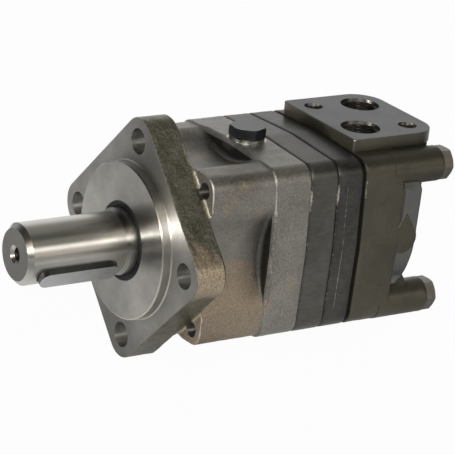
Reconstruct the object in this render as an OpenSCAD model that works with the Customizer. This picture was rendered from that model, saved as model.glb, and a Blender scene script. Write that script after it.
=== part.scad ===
// Orbital hydraulic motor with a disc valve, 100 cm3 class.
// The shaft axis is Y. The origin is the centre of the mounting face, the shaft end points to -Y,
// the ports and the drain plug point to +Z.

/* [Output shaft] */
// Diameter of the keyed shaft end
shaft_d = 32; // [28:0.5:34]
// Distance from the mounting face to the shaft end
shaft_reach = 66.6; // [62:0.2:76]
// Distance from the mounting face to the shaft shoulder
shoulder_reach = 10.9; // [9:0.1:13]
// Chamfer at the shaft end
shaft_chamfer = 2.5; // [1:0.1:3]
// Length of the key
key_len = 45; // [36:0.5:48]
// Width of the key
key_w = 10; // [8:0.5:12]
// Height of the key
key_h = 8; // [7:0.5:9]
// Depth of the keyway below the shaft surface
key_seat = 5; // [4:0.1:5.5]
// Distance from the shaft end to the keyway
key_inset = 5.6; // [4:0.1:7]
// How far the keyway is longer than the key
keyway_slack = 1; // [0.4:0.1:1.6]
// Angle of the key below the +X direction
key_turn = 30; // [0:1:90]
// Tapped hole in the shaft end, diameter at the thread's crests
centre_hole_d = 6.8; // [5:0.1:8.5]
// Depth of the tapped hole in the shaft end
centre_hole_depth = 22; // [16:0.5:26]
// Countersink diameter of the shaft end hole
countersink_d = 10; // [9:0.1:12]

/* [Mounting flange] */
// Bolt circle of the mounting flange
flange_pcd = 106.4; // [104:0.2:109]
// Diameter of the four flange holes
flange_hole_d = 13.5; // [11:0.1:14]
// Thickness of the mounting flange
flange_t = 18; // [15:0.2:21]
// Radius round each flange hole
flange_lobe_r = 12.5; // [11.5:0.1:14]
// Radius of the flange between its lobes
flange_core_r = 50.2; // [49:0.1:51.5]
// Diameter of the locating pilot
pilot_d = 82.5; // [80:0.5:84]
// Height of the pilot over the mounting face
pilot_h = 5.4; // [5:0.1:7]
// Chamfer of the pilot
pilot_chamfer = 0.8; // [0.4:0.1:1.2]
// Diameter of the recess round the shaft
recess_d = 41.4; // [40:0.2:44]

/* [Body] */
// Radius of the body at the middle of each side
body_r = 48.6; // [47.5:0.1:50]
// Distance of the four body bolts from the axis planes
bolt_offset = 37.6; // [36.5:0.1:39]
// Radius of the body's corners
corner_r = 9.2; // [8.6:0.1:10]
// Length of the front housing from the mounting face
housing_len = 77; // [75:0.5:82]
// Thickness of the housing's rear flange
rear_flange_t = 21.5; // [19:0.5:23]
// Radius of the housing's neck behind the mounting flange
neck_front_r = 42; // [40:0.1:43]
// Radius of the housing's neck before the rear flange
neck_rear_r = 37; // [36:0.1:39]
// Half width of the mouth of the hollow between two bolt columns
hollow_half_w = 28.5; // [26:0.5:30]
// Half width of the floor of the hollow between two bolt columns
hollow_floor_w = 11.4; // [9:0.2:14]
// Distance of the hollow's floor from the shaft axis
hollow_floor_r = 34.6; // [33.5:0.1:36]
// Width of the gear ring
ring_w = 17; // [14:0.5:21]
// Width of the channel plate
plate_w = 15; // [13:0.5:18]
// Diameter of the body bolts
bolt_d = 10; // [8:0.5:10.5]
// Core diameter of the tapped bolt holes
bolt_core_d = 8.5; // [7:0.1:9]
// Depth of the bolt thread in the housing
bolt_grip = 26; // [20:0.5:32]
// Width across the flats of the bolt heads
bolt_head_af = 16; // [14:0.5:17]
// Height of the bolt heads
bolt_head_h = 6.4; // [5:0.2:8]

/* [Valve housing] */
// Length of the valve housing's full outline
cover_len = 27.5; // [26:0.5:31]
// Length of the valve housing to the back of its hub
hub_len = 41; // [40:0.5:45]
// Length of the valve housing to the ends of its bolt bosses
boss_len = 53.9; // [52:0.1:56]
// Radius of the bolt bosses
boss_r = 9.5; // [9:0.1:10]
// Radius of the hub
hub_r = 46; // [44.5:0.1:46.8]
// Width of the groove in front of the valve housing
groove_w = 2.4; // [1.6:0.1:3]
// Depth of the groove in front of the valve housing
groove_depth = 3; // [2:0.1:3.4]
// Height of the port face over the shaft axis
pad_top = 54; // [53:0.2:57]
// Thickness of the port pad
pad_t = 8; // [7:0.2:9]
// Half width of the port pad
pad_half_w = 34; // [33:0.2:36]
// Length of the port pad
pad_len = 56; // [54:0.5:60]
// Radius of the port pad's rear corners
pad_corner_r = 15; // [10:0.5:18]
// Core diameter of the port threads
port_d = 18.6; // [16:0.2:19.6]
// Chamfer diameter at the port mouths
port_mouth_d = 21.2; // [20:0.2:22.4]
// Depth of the port threads
port_depth = 16; // [14:0.5:17]
// Distance of the ports from the middle plane
port_offset_x = 16.4; // [15.4:0.1:17]
// Distance between the ports along the shaft axis
port_step_y = 23; // [21:0.5:26]
// Distance of the port pattern's centre from the valve housing's front face
port_centre = 29.5; // [29:0.1:31]
// Core diameter of the tapped holes in the port face
stud_d = 8.5; // [7:0.1:9]
// Depth of the tapped holes in the port face
stud_depth = 13; // [10:0.5:14]
// Distance of the tapped holes from the middle plane
stud_offset_x = 21; // [20:0.2:22]
// Distance between the tapped holes along the shaft axis
stud_step_y = 32; // [30:0.5:34]
// Radius of the round bosses on the hub's sides
side_boss_r = 7.4; // [6:0.1:8]
// Height of the peak of the side bosses over their centre
side_boss_peak = 14.4; // [12:0.2:16]

/* [Drain plug] */
// Thread diameter of the drain plug
drain_d = 13.2; // [10:0.1:14]
// Width across the flats of the drain plug
drain_af = 17; // [16:0.5:19]
// Height of the drain plug's head
drain_head_h = 5.6; // [4:0.2:7]
// Thickness of the drain plug's washer
drain_washer_t = 1.5; // [1:0.1:2]
// Length of the drain plug's thread
drain_grip = 10; // [8:0.5:11]

/* [Bearings] */
// Bore of the front bearing and diameter of the seal journal
front_bore = 35; // [34.5:0.1:36]
// Outer diameter of the front bearing
front_od = 62; // [61:0.2:64]
// Width of the front bearing
front_w = 18; // [17:0.2:19]
// Bore of the rear bearing
rear_bore = 35; // [34.5:0.1:36]
// Outer diameter of the rear bearing
rear_od = 62; // [61:0.2:64]
// Width of the rear bearing
rear_w = 18; // [17:0.2:19]
// Distance from the mounting face to the front bearing
front_seat = 14; // [13.5:0.1:15.5]
// Distance between the bearings' inner races
collar_w = 10; // [9:0.2:12]

/* [Gear set] */
// Radius of the circle of the seven roller centres
roller_circle_r = 33.3; // [33:0.1:33.8]
// Radius of the rollers
roller_r = 7; // [6.6:0.1:7.2]
// Distance of the star's centre from the shaft axis
orbit_e = 2.7; // [2.5:0.05:2.8]
// Running clearance of the rollers and the star
mesh_gap = 0.05; // [0.03:0.01:0.08]

/* [Drive links] */
// Outer radius of the spline teeth
spline_tip_r = 12.4; // [12:0.1:12.6]
// Root radius of the spline teeth
spline_root_r = 10.1; // [9.8:0.1:10.3]
// Width of the spline teeth
spline_tooth_w = 3; // [2.6:0.1:3.2]
// Radial clearance of the splines
spline_gap = 0.3; // [0.25:0.05:0.4]
// Length of the main link's teeth in the shaft
shaft_spline_len = 14; // [12:0.5:15]
// Radius of the drive links between their heads
link_r = 8.6; // [7.5:0.1:9]

/* [Valve parts] */
// Radius of the disc valve
valve_r = 35; // [34:0.2:36]
// Thickness of the disc valve
valve_t = 12; // [11:0.5:13]
// Radius of the circle of the valve ports
valve_port_circle_r = 28.5; // [28:0.1:29]
// Radius of the passages through the channel plate
channel_r = 3; // [2.5:0.1:3.2]
// Width of the balance ring
balance_w = 8; // [7:0.5:9]

/* [Hidden] */
$fn = 72;

// Clearances: between fixed pieces, between turning pieces, and between flat running faces
fit_gap = 0.02;
run_gap = 0.05;
face_gap = 0.03;

// How far an outline's straight sides end inside the circles that they touch
tangent_tuck = 0.02;

// Stations along the shaft axis
ring_y = housing_len;
plate_y = ring_y + ring_w;
cover_y = plate_y + plate_w;
cover_end = cover_y + cover_len;
hub_end = cover_y + hub_len;
boss_end = cover_y + boss_len;
rear_flange_y = housing_len - rear_flange_t;
key_y = -shaft_reach + key_inset;

// Bearing stations and races
collar_y = front_seat + front_w;
rear_cone_y = collar_y + collar_w;
rear_seat = rear_cone_y + rear_w;
shaft_rear = rear_seat + 3;
journal_r = front_bore / 2;
collar_r = 23;
seal_r = 24;
seal_y = 3;
seal_w = 8;
cup_share = 0.77;
roller_share = 0.1296;
circle_lift = 0.3;
race_tilt = 13.5;
rib_gap = 0.15;
rib_rise = 1.6;
front_rollers = 17;
rear_rollers = 17;
cage_t = 1.2;
cage_offset = 0.9;

// A taper roller bearing: [outer radius, bore radius, width, roller circle, roller radius, count]
function bearing_set(od, bore, width, count) = [od / 2, bore / 2, width,
    (od + bore) / 4 + circle_lift, roller_share * (od - bore), count];
front_set = bearing_set(front_od, front_bore, front_w, front_rollers);
rear_set = bearing_set(rear_od, rear_bore, rear_w, rear_rollers);
function cup_w(b) = b[2] * cup_share;
function roller_mid(b) = b[2] * 0.46;
function roller_len(b) = b[2] * 0.62;
function apex(b) = roller_mid(b) - b[3] / tan(race_tilt);
function half_cone(b) = atan(b[4] * sin(race_tilt) / b[3]);
function cup_race(b, u) = (u - apex(b)) * tan(race_tilt + half_cone(b)) + run_gap / 2;
function cone_race(b, u) = (u - apex(b)) * tan(race_tilt - half_cone(b)) - run_gap / 2;
function axis_line(b, u) = (u - apex(b)) * tan(race_tilt);

// Wear plate
wear_r = 36;
wear_t = 7;
wear_rim = 4;
wear_bore_r = 15.5;
drain_slot_w = 8;

// Depth to which the bolt holes run into the back of the flange
tap_nick = 1.5;

// Drain plug seat
drain_y = housing_len - rear_flange_t / 2;
drain_seat_z = body_r - 0.4;
drain_turn = -7;
drain_core_r = 3.5;
drain_depth = 12;

// Gear set
roller_count = 7;
lobe_count = 6;
ring_bore_r = roller_circle_r + 2 * orbit_e - roller_r + 0.2;
star_steps = 252;
star_spline_y0 = ring_y + 1.2;
star_spline_len = ring_w * 0.62;
star_pivot = star_spline_y0 + star_spline_len / 2;
shaft_pivot = rear_cone_y;
spacer_t = 1;
spacer_y = star_spline_y0 + star_spline_len + 0.8;
valve_front_len = 5;
valve_front_y = spacer_y + spacer_t + 0.8;
valve_front_pivot = valve_front_y + valve_front_len / 2;
valve_spline_len = 7;
valve_pivot = cover_y + valve_t / 2 + 1;
barrel_r = 25;
flank_r = 20;
tooth_count = 12;
flank_gap = 0.22;
link_tilt = atan(orbit_e / (star_pivot - shaft_pivot));
valve_tilt = atan(orbit_e / (valve_pivot - valve_front_pivot));

// Valve housing cavities
valve_bore_r = valve_r + 2;
valve_back = cover_y + valve_t;
balance_r = valve_r + 1;
balance_inner_r = 25;
balance_y = valve_back + face_gap;
balance_end = balance_y + balance_w;
spring_circle_r = (balance_r + balance_inner_r) / 2;
spring_coil_r = 3;
spring_wire_r = 0.6;
spring_turns = 4;
spring_len = 9;
spring_pocket = 4;
spring_count = 3;
chamber_r = 18;
chamber_end = balance_end + 14;
passage_r = 6;
pad_y = cover_y + groove_w;
pad_end = pad_y + pad_len;
port_y = cover_y + port_centre;
port_a = [port_offset_x, port_y - port_step_y / 2];
port_b = [-port_offset_x, port_y + port_step_y / 2];
pad_front_r = 2;
pad_bottom = pad_top - pad_t;
block_half_w = bolt_offset - 4;
block_end = boss_end - 1.6;
block_bottom = 20;

side_boss_rise = 0.8;

// Seal rings between the sections
section_seal_r = (wear_r + bolt_offset * sqrt(2) - bolt_d / 2) / 2;
section_seal_wire = 1.1;
cover_seal_r = (valve_bore_r + hub_r) / 2;

// Colours of the finishes
iron = "#7d7060";
dark_iron = "#45433c";
steel = "#a3a19c";
black = "#202022";
race = "#b8b8b4";

// A flat outline in X and Z, carried along Y from y0 to y1
module slab(y0, y1) {
    translate([0, y1, 0]) rotate([90, 0, 0]) linear_extrude(y1 - y0) children();
}

// A profile of radius and Y, turned about the shaft axis
module turned() {
    rotate([-90, 0, 0]) rotate_extrude() children();
}

// A round bar along Y
module rod(r, y0, y1) {
    translate([0, y0, 0]) rotate([-90, 0, 0]) cylinder(r = r, h = y1 - y0);
}

// A cone along Y
module taper(r0, r1, y0, y1) {
    translate([0, y0, 0]) rotate([-90, 0, 0]) cylinder(r1 = r0, r2 = r1, h = y1 - y0);
}

// The four body bolt places
module at_bolts() {
    for (sx = [-1, 1], sz = [-1, 1]) translate([sx * bolt_offset, 0, sz * bolt_offset]) children();
}

// Circle and lobe joined along their outer tangents; the lobe lies at distance d along the angle a
module lobe(core, d, r, a) {
    spread = acos((core - r) / d);
    n0 = [cos(a - spread), sin(a - spread)];
    n1 = [cos(a + spread), sin(a + spread)];
    c = d * [cos(a), sin(a)];
    in_core = core - tangent_tuck;
    in_lobe = r - tangent_tuck;
    translate(c) circle(r);
    polygon([[0, 0], in_core * n0, c + in_lobe * n0, c + in_lobe * n1, in_core * n1]);
}

// Outline of the body sections, pulled in by inset
module body_outline(inset = 0) {
    circle(body_r - inset);
    for (k = [0:3]) lobe(body_r - inset, bolt_offset * sqrt(2), corner_r - inset, 45 + 90 * k);
}

// Outline of the mounting flange
module flange_outline() {
    circle(flange_core_r);
    for (k = [0:3]) lobe(flange_core_r, flange_pcd / 2, flange_lobe_r, 90 * k);
}

// Outline of the internal splines, with r0 at the tooth tips and r1 in the slots
module spline_bore() {
    intersection() {
        union() {
            circle(spline_root_r + spline_gap * 2);
            for (k = [0:tooth_count - 1]) rotate(k * 360 / tooth_count)
                translate([0, -spline_tooth_w / 2 - flank_gap]) square([spline_tip_r * 1.2, spline_tooth_w + 2 * flank_gap]);
        }
        circle(spline_tip_r + spline_gap);
    }
}

// A barrel of radius r at its middle, rounded along its length
module barrel(r, y0, y1) {
    mid = (y0 + y1) / 2;
    turned() intersection() {
        translate([0, y0]) square([r, y1 - y0]);
        translate([r - barrel_r, mid]) circle(barrel_r, $fn = 180);
    }
}

// The crowned splines of a drive link's head: lens shaped teeth on a barrel
module link_head(y0, y1) {
    mid = (y0 + y1) / 2;
    half = (y1 - y0) / 2;
    shift = flank_r - spline_tooth_w / 2;
    foot = spline_root_r - 1.5;
    barrel(spline_root_r, y0, y1);
    intersection() {
        barrel(spline_tip_r, y0, y1);
        for (k = [0:tooth_count - 1]) rotate([0, k * 360 / tooth_count, 0]) translate([0, mid, foot])
            linear_extrude(spline_tip_r + 1 - foot) intersection() {
                translate([shift, 0]) circle(flank_r);
                translate([-shift, 0]) circle(flank_r);
                square([2 * spline_tooth_w, 2 * half], center = true);
            }
    }
}

// A sealing ring of round section
module seal_ring(r, y, wire) {
    turned() translate([r, y]) circle(wire, $fn = 32);
}

// Groove for a sealing ring, cut into a face at y; dir is the side that the material lies on
module seal_groove(r, y, wire, dir) {
    y0 = dir > 0 ? y : y - 2 * wire;
    turned() translate([r - wire - 0.1, y0 - 0.01]) square([2 * wire + 0.2, 2 * wire + 0.02]);
}

module bearing_cup(b) {
    turned() polygon([[b[0], 0], [b[0], cup_w(b)], [cup_race(b, cup_w(b)), cup_w(b)], [cup_race(b, 0), 0]]);
}

module bearing_cone(b) {
    u0 = roller_mid(b) - roller_len(b) / 2 * cos(race_tilt) - 0.2;
    u1 = roller_mid(b) + roller_len(b) / 2 * cos(race_tilt) + b[4] * sin(race_tilt) + rib_gap;
    turned() polygon([[b[1], 0], [cone_race(b, 0) + rib_rise / 2, 0], [cone_race(b, u0) + rib_rise / 2, u0 - 1],
        [cone_race(b, u0), u0], [cone_race(b, u1), u1], [cone_race(b, u1) + rib_rise, u1],
        [cone_race(b, u1) + rib_rise, b[2]], [b[1], b[2]]]);
}

module bearing_rollers(b, grow = 0) {
    half = roller_len(b) / 2 + grow;
    r_mid = b[4] - run_gap / 2 + grow;
    lean = half * tan(half_cone(b));
    for (k = [0:b[5] - 1]) rotate([0, 360 * k / b[5], 0]) translate([0, roller_mid(b), b[3]])
        rotate([-90 + race_tilt, 0, 0]) translate([0, 0, -half])
            cylinder(r1 = r_mid - lean, r2 = r_mid + lean, h = 2 * half, $fn = 36);
}

module bearing_cage(b) {
    u0 = roller_mid(b) - roller_len(b) / 2 - 1.2;
    u1 = roller_mid(b) + roller_len(b) / 2 + 1.2;
    difference() {
        turned() polygon([[axis_line(b, u0) + cage_offset, u0], [axis_line(b, u0) + cage_offset + cage_t, u0],
            [axis_line(b, u1) + cage_offset + cage_t, u1], [axis_line(b, u1) + cage_offset, u1]]);
        bearing_rollers(b, 0.15);
    }
}

// The front bearing's cup backs on the housing at front_seat; the rear one is turned round
module at_front() {
    translate([0, front_seat, 0]) children();
}

module at_rear() {
    translate([0, rear_seat, 0]) mirror([0, 1, 0]) children();
}

module drain_hole() {
    translate([0, drain_y, drain_seat_z - drain_depth]) cylinder(r = drain_d / 2, h = drain_depth + 5);
    translate([0, drain_y, 0]) cylinder(r = drain_core_r, h = drain_seat_z);
    translate([0, drain_y, drain_seat_z]) cylinder(r = drain_af / 2 + 2, h = 5);
}

// The quarter that a bolt column takes, between the sloping sides of two hollows
module column_sector() {
    out = body_r + 10;
    polygon([[0, 0], [hollow_floor_r, hollow_floor_w], [body_r, hollow_half_w], [out, hollow_half_w],
        [out, out], [hollow_half_w, out], [hollow_half_w, body_r], [hollow_floor_w, hollow_floor_r]]);
}

module front_housing() color(iron) {
    difference() {
        union() {
            slab(0, flange_t) flange_outline();
            turned() polygon([[0, -pilot_h], [pilot_d / 2 - pilot_chamfer, -pilot_h],
                [pilot_d / 2, -pilot_h + pilot_chamfer], [pilot_d / 2, 0], [0, 0]]);
            taper(neck_front_r, neck_rear_r, flange_t, rear_flange_y);
            slab(flange_t, rear_flange_y) intersection() {
                body_outline();
                for (k = [0:3]) rotate(90 * k) column_sector();
            }
            slab(rear_flange_y, housing_len) body_outline();
        }
        for (k = [0:3]) rotate([0, 90 * k, 0]) translate([flange_pcd / 2, 0, 0]) rod(flange_hole_d / 2, -1, flange_t + 1);
        at_bolts() rod(bolt_core_d / 2, flange_t - tap_nick, housing_len + 1);
        at_bolts() rod(bolt_d / 2 + fit_gap, housing_len - bolt_grip - 2, housing_len + 1);
        rod(recess_d / 2, -pilot_h - 1, seal_y + 1);
        rod(seal_r + fit_gap, seal_y, front_seat + 1);
        rod(front_od / 2 + fit_gap, front_seat, rear_cone_y);
        rod(rear_od / 2 + fit_gap, rear_cone_y - 1, housing_len + 1);
        rod(wear_r + fit_gap, housing_len - wear_t, housing_len + 1);
        drain_hole();
        seal_groove(section_seal_r, housing_len, section_seal_wire, -1);
    }
}

module output_shaft() color(steel) {
    difference() {
        turned() polygon([[0, -shaft_reach], [shaft_d / 2 - shaft_chamfer, -shaft_reach],
            [shaft_d / 2, -shaft_reach + shaft_chamfer], [shaft_d / 2, -shoulder_reach],
            [journal_r, -shoulder_reach + 1.8], [journal_r, collar_y], [collar_r, collar_y],
            [collar_r, rear_cone_y], [rear_bore / 2, rear_cone_y], [rear_bore / 2, shaft_rear], [0, shaft_rear]]);
        keyway(keyway_slack, key_seat);
        rod(centre_hole_d / 2, -shaft_reach - 1, -shaft_reach + centre_hole_depth);
        taper(countersink_d / 2, 0, -shaft_reach - 0.001, -shaft_reach + countersink_d / 2);
        slab(shaft_pivot - shaft_spline_len / 2 - 1, shaft_rear + 1) spline_bore();
        rod(spline_tip_r + spline_gap, shaft_pivot + shaft_spline_len / 2 + 1, shaft_rear + 1);
        rod(spline_tip_r + spline_gap, shaft_pivot - shaft_spline_len / 2 - 3, shaft_pivot - shaft_spline_len / 2);
    }
}

// The rounded slot of the key, longer than the key by slack and sunk by depth
module keyway(slack, depth) {
    rotate([0, key_turn, 0]) translate([shaft_d / 2 - depth, 0, 0]) rotate([0, 90, 0])
        linear_extrude(key_h + 5) round_slot(key_w + fit_gap * 2, key_y, key_y + key_len + slack);
}

// A slot with round ends, w wide, from y0 to y1
module round_slot(w, y0, y1) {
    translate([0, y0 + w / 2]) circle(w / 2);
    translate([0, y1 - w / 2]) circle(w / 2);
    translate([-w / 2, y0 + w / 2]) square([w, y1 - y0 - w]);
}

module shaft_key() color(steel) {
    rotate([0, key_turn, 0]) translate([shaft_d / 2 - key_seat + fit_gap, 0, 0]) rotate([0, 90, 0])
        linear_extrude(key_h) round_slot(key_w, key_y + keyway_slack / 2, key_y + key_len + keyway_slack / 2);
}

module dust_seal() color(black) {
    inner = journal_r + run_gap;
    outer = recess_d / 2 - fit_gap;
    turned() polygon([[outer, -pilot_h + 0.6], [outer, -0.6], [outer - 1.6, -0.6], [inner + 0.6, -2],
        [inner, -3.4], [inner + 0.4, -pilot_h + 0.3], [inner + 1.4, -pilot_h + 1]]);
}

module shaft_seal() color(black) {
    inner = journal_r + run_gap;
    turned() polygon([[seal_r, seal_y + fit_gap], [seal_r, seal_y + seal_w], [seal_r - 1.5, seal_y + seal_w],
        [seal_r - 1.5, seal_y + 2], [inner + 2.4, seal_y + 2], [inner + 2.6, seal_y + seal_w - 1.5],
        [inner + 1, seal_y + seal_w - 1.5], [inner, seal_y + seal_w - 3], [inner + 0.8, seal_y + 1.4],
        [inner + 0.8, seal_y + fit_gap]]);
}

module front_bearing_cup() color(race) at_front() bearing_cup(front_set);
module front_bearing_cone() color(race) at_front() bearing_cone(front_set);
module front_bearing_rollers() color(race) at_front() bearing_rollers(front_set);
module front_bearing_cage() color(steel) at_front() bearing_cage(front_set);
module rear_bearing_cup() color(race) at_rear() bearing_cup(rear_set);
module rear_bearing_cone() color(race) at_rear() bearing_cone(rear_set);
module rear_bearing_rollers() color(race) at_rear() bearing_rollers(rear_set);
module rear_bearing_cage() color(steel) at_rear() bearing_cage(rear_set);

module wear_plate() color(steel) {
    difference() {
        turned() polygon([[wear_r, housing_len - wear_t + fit_gap], [wear_r, housing_len], [wear_bore_r, housing_len],
            [wear_bore_r, housing_len - wear_t], [rear_od / 2 - wear_rim, housing_len - wear_t],
            [rear_od / 2 - wear_rim, rear_seat + fit_gap], [rear_od / 2, rear_seat + fit_gap],
            [rear_od / 2, housing_len - wear_t + fit_gap]]);
        translate([-drain_slot_w / 2, rear_seat - 1, 0])
            cube([drain_slot_w, housing_len - wear_t - rear_seat + 1, wear_r + 1]);
    }
}

module housing_seal() color(black) {
    seal_ring(section_seal_r, housing_len - section_seal_wire, section_seal_wire);
}

module ring_seal() color(black) {
    seal_ring(section_seal_r, plate_y + section_seal_wire, section_seal_wire);
}

module cover_seal() color(black) {
    seal_ring(cover_seal_r, cover_y + section_seal_wire, section_seal_wire);
}

function on_circle(r, k, n) = [r * sin(360 * k / n), r * cos(360 * k / n)];

module gear_ring() color(dark_iron) {
    difference() {
        slab(ring_y, plate_y) difference() {
            body_outline();
            circle(ring_bore_r);
            for (k = [0:roller_count - 1]) translate(on_circle(roller_circle_r, k, roller_count)) circle(roller_r + mesh_gap);
        }
        at_bolts() rod(bolt_d / 2 + 0.4, ring_y - 1, plate_y + 1);
    }
}

module roller(k) color(race) {
    p = on_circle(roller_circle_r, k, roller_count);
    translate([p[0], 0, p[1]]) rod(roller_r, ring_y + face_gap, plate_y - face_gap);
}

module roller_1() roller(0);
module roller_2() roller(1);
module roller_3() roller(2);
module roller_4() roller(3);
module roller_5() roller(4);
module roller_6() roller(5);
module roller_7() roller(6);

// Path of a roller's centre round the star, and the star's flank at the roller's radius inside it
function path(s) = [roller_circle_r * sin(s) - orbit_e * sin(7 * s), roller_circle_r * cos(s) - orbit_e * cos(7 * s)];
function heading(s) = [roller_circle_r * cos(s) - 7 * orbit_e * cos(7 * s), -roller_circle_r * sin(s) + 7 * orbit_e * sin(7 * s)];
function flank(s) = path(s) - (roller_r + mesh_gap) * [-heading(s)[1], heading(s)[0]] / norm(heading(s));

module star_rotor() color(race) {
    translate([0, 0, orbit_e]) slab(ring_y + face_gap, plate_y - face_gap) difference() {
        polygon([for (k = [0:star_steps - 1]) flank(360 * k / star_steps)]);
        spline_bore();
    }
}

module main_drive_link() color(steel) {
    reach = (star_pivot - shaft_pivot) / cos(link_tilt);
    translate([0, shaft_pivot, 0]) rotate([link_tilt, 0, 0]) {
        link_head(-shaft_spline_len / 2, shaft_spline_len / 2);
        rod(link_r, shaft_spline_len / 2 - 1, reach - star_spline_len / 2 + 1);
        link_head(reach - star_spline_len / 2, reach + star_spline_len / 2);
    }
}

module drive_spacer() color(steel) {
    translate([0, 0, orbit_e]) rod(6, spacer_y, spacer_y + spacer_t);
}

module valve_drive_link() color(steel) {
    reach = (valve_pivot - valve_front_pivot) / cos(valve_tilt);
    translate([0, valve_front_pivot, orbit_e]) rotate([-valve_tilt, 0, 0]) {
        link_head(-valve_front_len / 2, valve_front_len / 2);
        rod(link_r, valve_front_len / 2 - 1, reach - valve_spline_len / 2 + 1);
        link_head(reach - valve_spline_len / 2, reach + valve_spline_len / 2);
    }
}

module channel_plate() color(dark_iron) {
    difference() {
        slab(plate_y, cover_y) body_outline();
        rod(spline_tip_r + 3.4, plate_y - 1, cover_y + 1);
        for (k = [0:roller_count - 1]) rotate([0, (k + 0.5) * 360 / roller_count, 0])
            translate([0, 0, valve_port_circle_r]) rod(channel_r, plate_y - 1, cover_y + 1);
        at_bolts() rod(bolt_d / 2 + 0.4, plate_y - 1, cover_y + 1);
        seal_groove(section_seal_r, plate_y, section_seal_wire, 1);
    }
}

module disc_valve() color(steel) {
    difference() {
        slab(cover_y + face_gap, valve_back) difference() {
            circle(valve_r);
            spline_bore();
        }
        for (k = [0:lobe_count - 1]) {
            rotate([0, 60 * k, 0]) translate([-channel_r, cover_y - 1, valve_port_circle_r - channel_r])
                cube([2 * channel_r, valve_t / 2, valve_r]);
            rotate([0, 60 * k + 30, 0]) translate([0, 0, valve_port_circle_r]) rod(channel_r, cover_y - 1, valve_back + 1);
        }
    }
}

module balance_ring() color(steel) {
    turned() polygon([[balance_r - run_gap, balance_y + 1.5], [balance_r - run_gap, balance_end],
        [balance_inner_r, balance_end], [balance_inner_r, balance_y + 1.5], [valve_port_circle_r + channel_r + 0.4, balance_y],
        [valve_r - 0.6, balance_y]]);
}

// A coil spring: a ring of points round the wire at each step along the helix
module coil_spring(r, wire, turns, len) {
    steps = turns * 14;
    sides = 6;
    function ring(i) = let (a = 360 * turns * i / steps, h = wire + (len - 2 * wire) * i / steps)
        [for (j = [0:sides - 1]) let (b = 360 * j / sides)
            [(r + wire * cos(b)) * cos(a), h + wire * sin(b), (r + wire * cos(b)) * sin(a)]];
    points = [for (i = [0:steps]) each ring(i)];
    walls = [for (i = [0:steps - 1], j = [0:sides - 1]) let (n = (j + 1) % sides)
        [i * sides + j, i * sides + n, (i + 1) * sides + n, (i + 1) * sides + j]];
    ends = [[for (j = [sides - 1:-1:0]) j], [for (j = [0:sides - 1]) steps * sides + j]];
    polyhedron(points, concat(walls, ends));
}

module balance_springs() color(race) {
    for (k = [0:spring_count - 1]) rotate([0, 360 * k / spring_count, 0])
        translate([0, balance_end + face_gap, spring_circle_r])
            coil_spring(spring_coil_r - spring_wire_r, spring_wire_r, spring_turns, spring_len);
}

module pad_plan() {
    x = pad_half_w;
    for (s = [-1, 1]) {
        translate([s * (x - pad_front_r), pad_y + pad_front_r]) circle(pad_front_r);
        translate([s * (x - pad_corner_r), pad_end - pad_corner_r]) circle(pad_corner_r);
    }
    translate([-x, pad_y + pad_front_r]) square([2 * x, pad_len - pad_front_r - pad_corner_r]);
    translate([-x + pad_front_r, pad_y]) square([2 * (x - pad_front_r), pad_front_r + 1]);
    translate([-x + pad_corner_r, pad_end - pad_corner_r - 1]) square([2 * (x - pad_corner_r), pad_corner_r + 1]);
}

module port(p) {
    mouth = (port_mouth_d - port_d) / 2;
    translate([p[0], p[1], pad_top - port_depth]) cylinder(r = port_d / 2, h = port_depth + 1);
    translate([p[0], p[1], pad_top - mouth]) cylinder(r1 = port_d / 2, r2 = port_mouth_d / 2 + 0.01, h = mouth + 0.01);
}

// A round boss drawn out to a peak above
module side_boss() {
    spread = acos(side_boss_r / side_boss_peak);
    circle(side_boss_r);
    polygon([[0, 0], side_boss_r * [sin(spread), cos(spread)], [0, side_boss_peak],
        side_boss_r * [-sin(spread), cos(spread)]]);
}

module valve_housing() color(dark_iron) {
    difference() {
        union() {
            slab(cover_y, cover_y + groove_w) body_outline(groove_depth);
            slab(cover_y + groove_w, cover_end) body_outline();
            rod(hub_r, cover_end, hub_end);
            translate([-hub_r, cover_end, 0]) cube([2 * hub_r, hub_len - cover_len, bolt_offset - boss_r + 2]);
            at_bolts() rod(boss_r, cover_end, boss_end);
            translate([-block_half_w, cover_end, block_bottom])
                cube([2 * block_half_w, block_end - cover_end, pad_bottom - block_bottom + 1]);
            translate([0, 0, pad_bottom]) linear_extrude(pad_t) pad_plan();
            for (s = [-1, 1]) translate([0, hub_end - side_boss_r - 1, 0]) rotate([90, 0, s * 90])
                linear_extrude(hub_r + side_boss_rise) side_boss();
        }
        at_bolts() rod(bolt_d / 2 + 0.4, cover_y - 1, boss_end + 1);
        rod(valve_bore_r, cover_y - 1, valve_back + 0.4);
        rod(balance_r, valve_back, balance_end + spring_len - spring_pocket);
        rod(chamber_r, valve_back, chamber_end);
        for (k = [0:spring_count - 1]) rotate([0, 360 * k / spring_count, 0]) translate([0, 0, spring_circle_r])
            rod(spring_coil_r + 0.4, balance_end, balance_end + spring_len + 2 * face_gap);
        port(port_a);
        port(port_b);
        translate([port_a[0], port_a[1], 20]) cylinder(r = passage_r, h = pad_top - port_depth - 19);
        translate([port_b[0], port_b[1], pad_top - port_depth + 1]) rotate([158, 0, 0]) cylinder(r = passage_r, h = 36);
        for (s = [-1, 1]) translate([s * stud_offset_x, port_y + s * stud_step_y / 2, pad_top - stud_depth])
            cylinder(r = stud_d / 2, h = stud_depth + 1);
        seal_groove(cover_seal_r, cover_y, section_seal_wire, 1);
    }
}

module cover_bolts() color(black) {
    at_bolts() {
        rod(bolt_d / 2, housing_len - bolt_grip, boss_end);
        translate([0, boss_end, 0]) rotate([-90, 0, 0]) intersection() {
            cylinder(d = bolt_head_af / cos(30), h = bolt_head_h, $fn = 6);
            cylinder(r1 = bolt_head_af / 2 + bolt_head_h * 1.8, r2 = bolt_head_af / 2 - 0.2, h = bolt_head_h);
        }
    }
}

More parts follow.
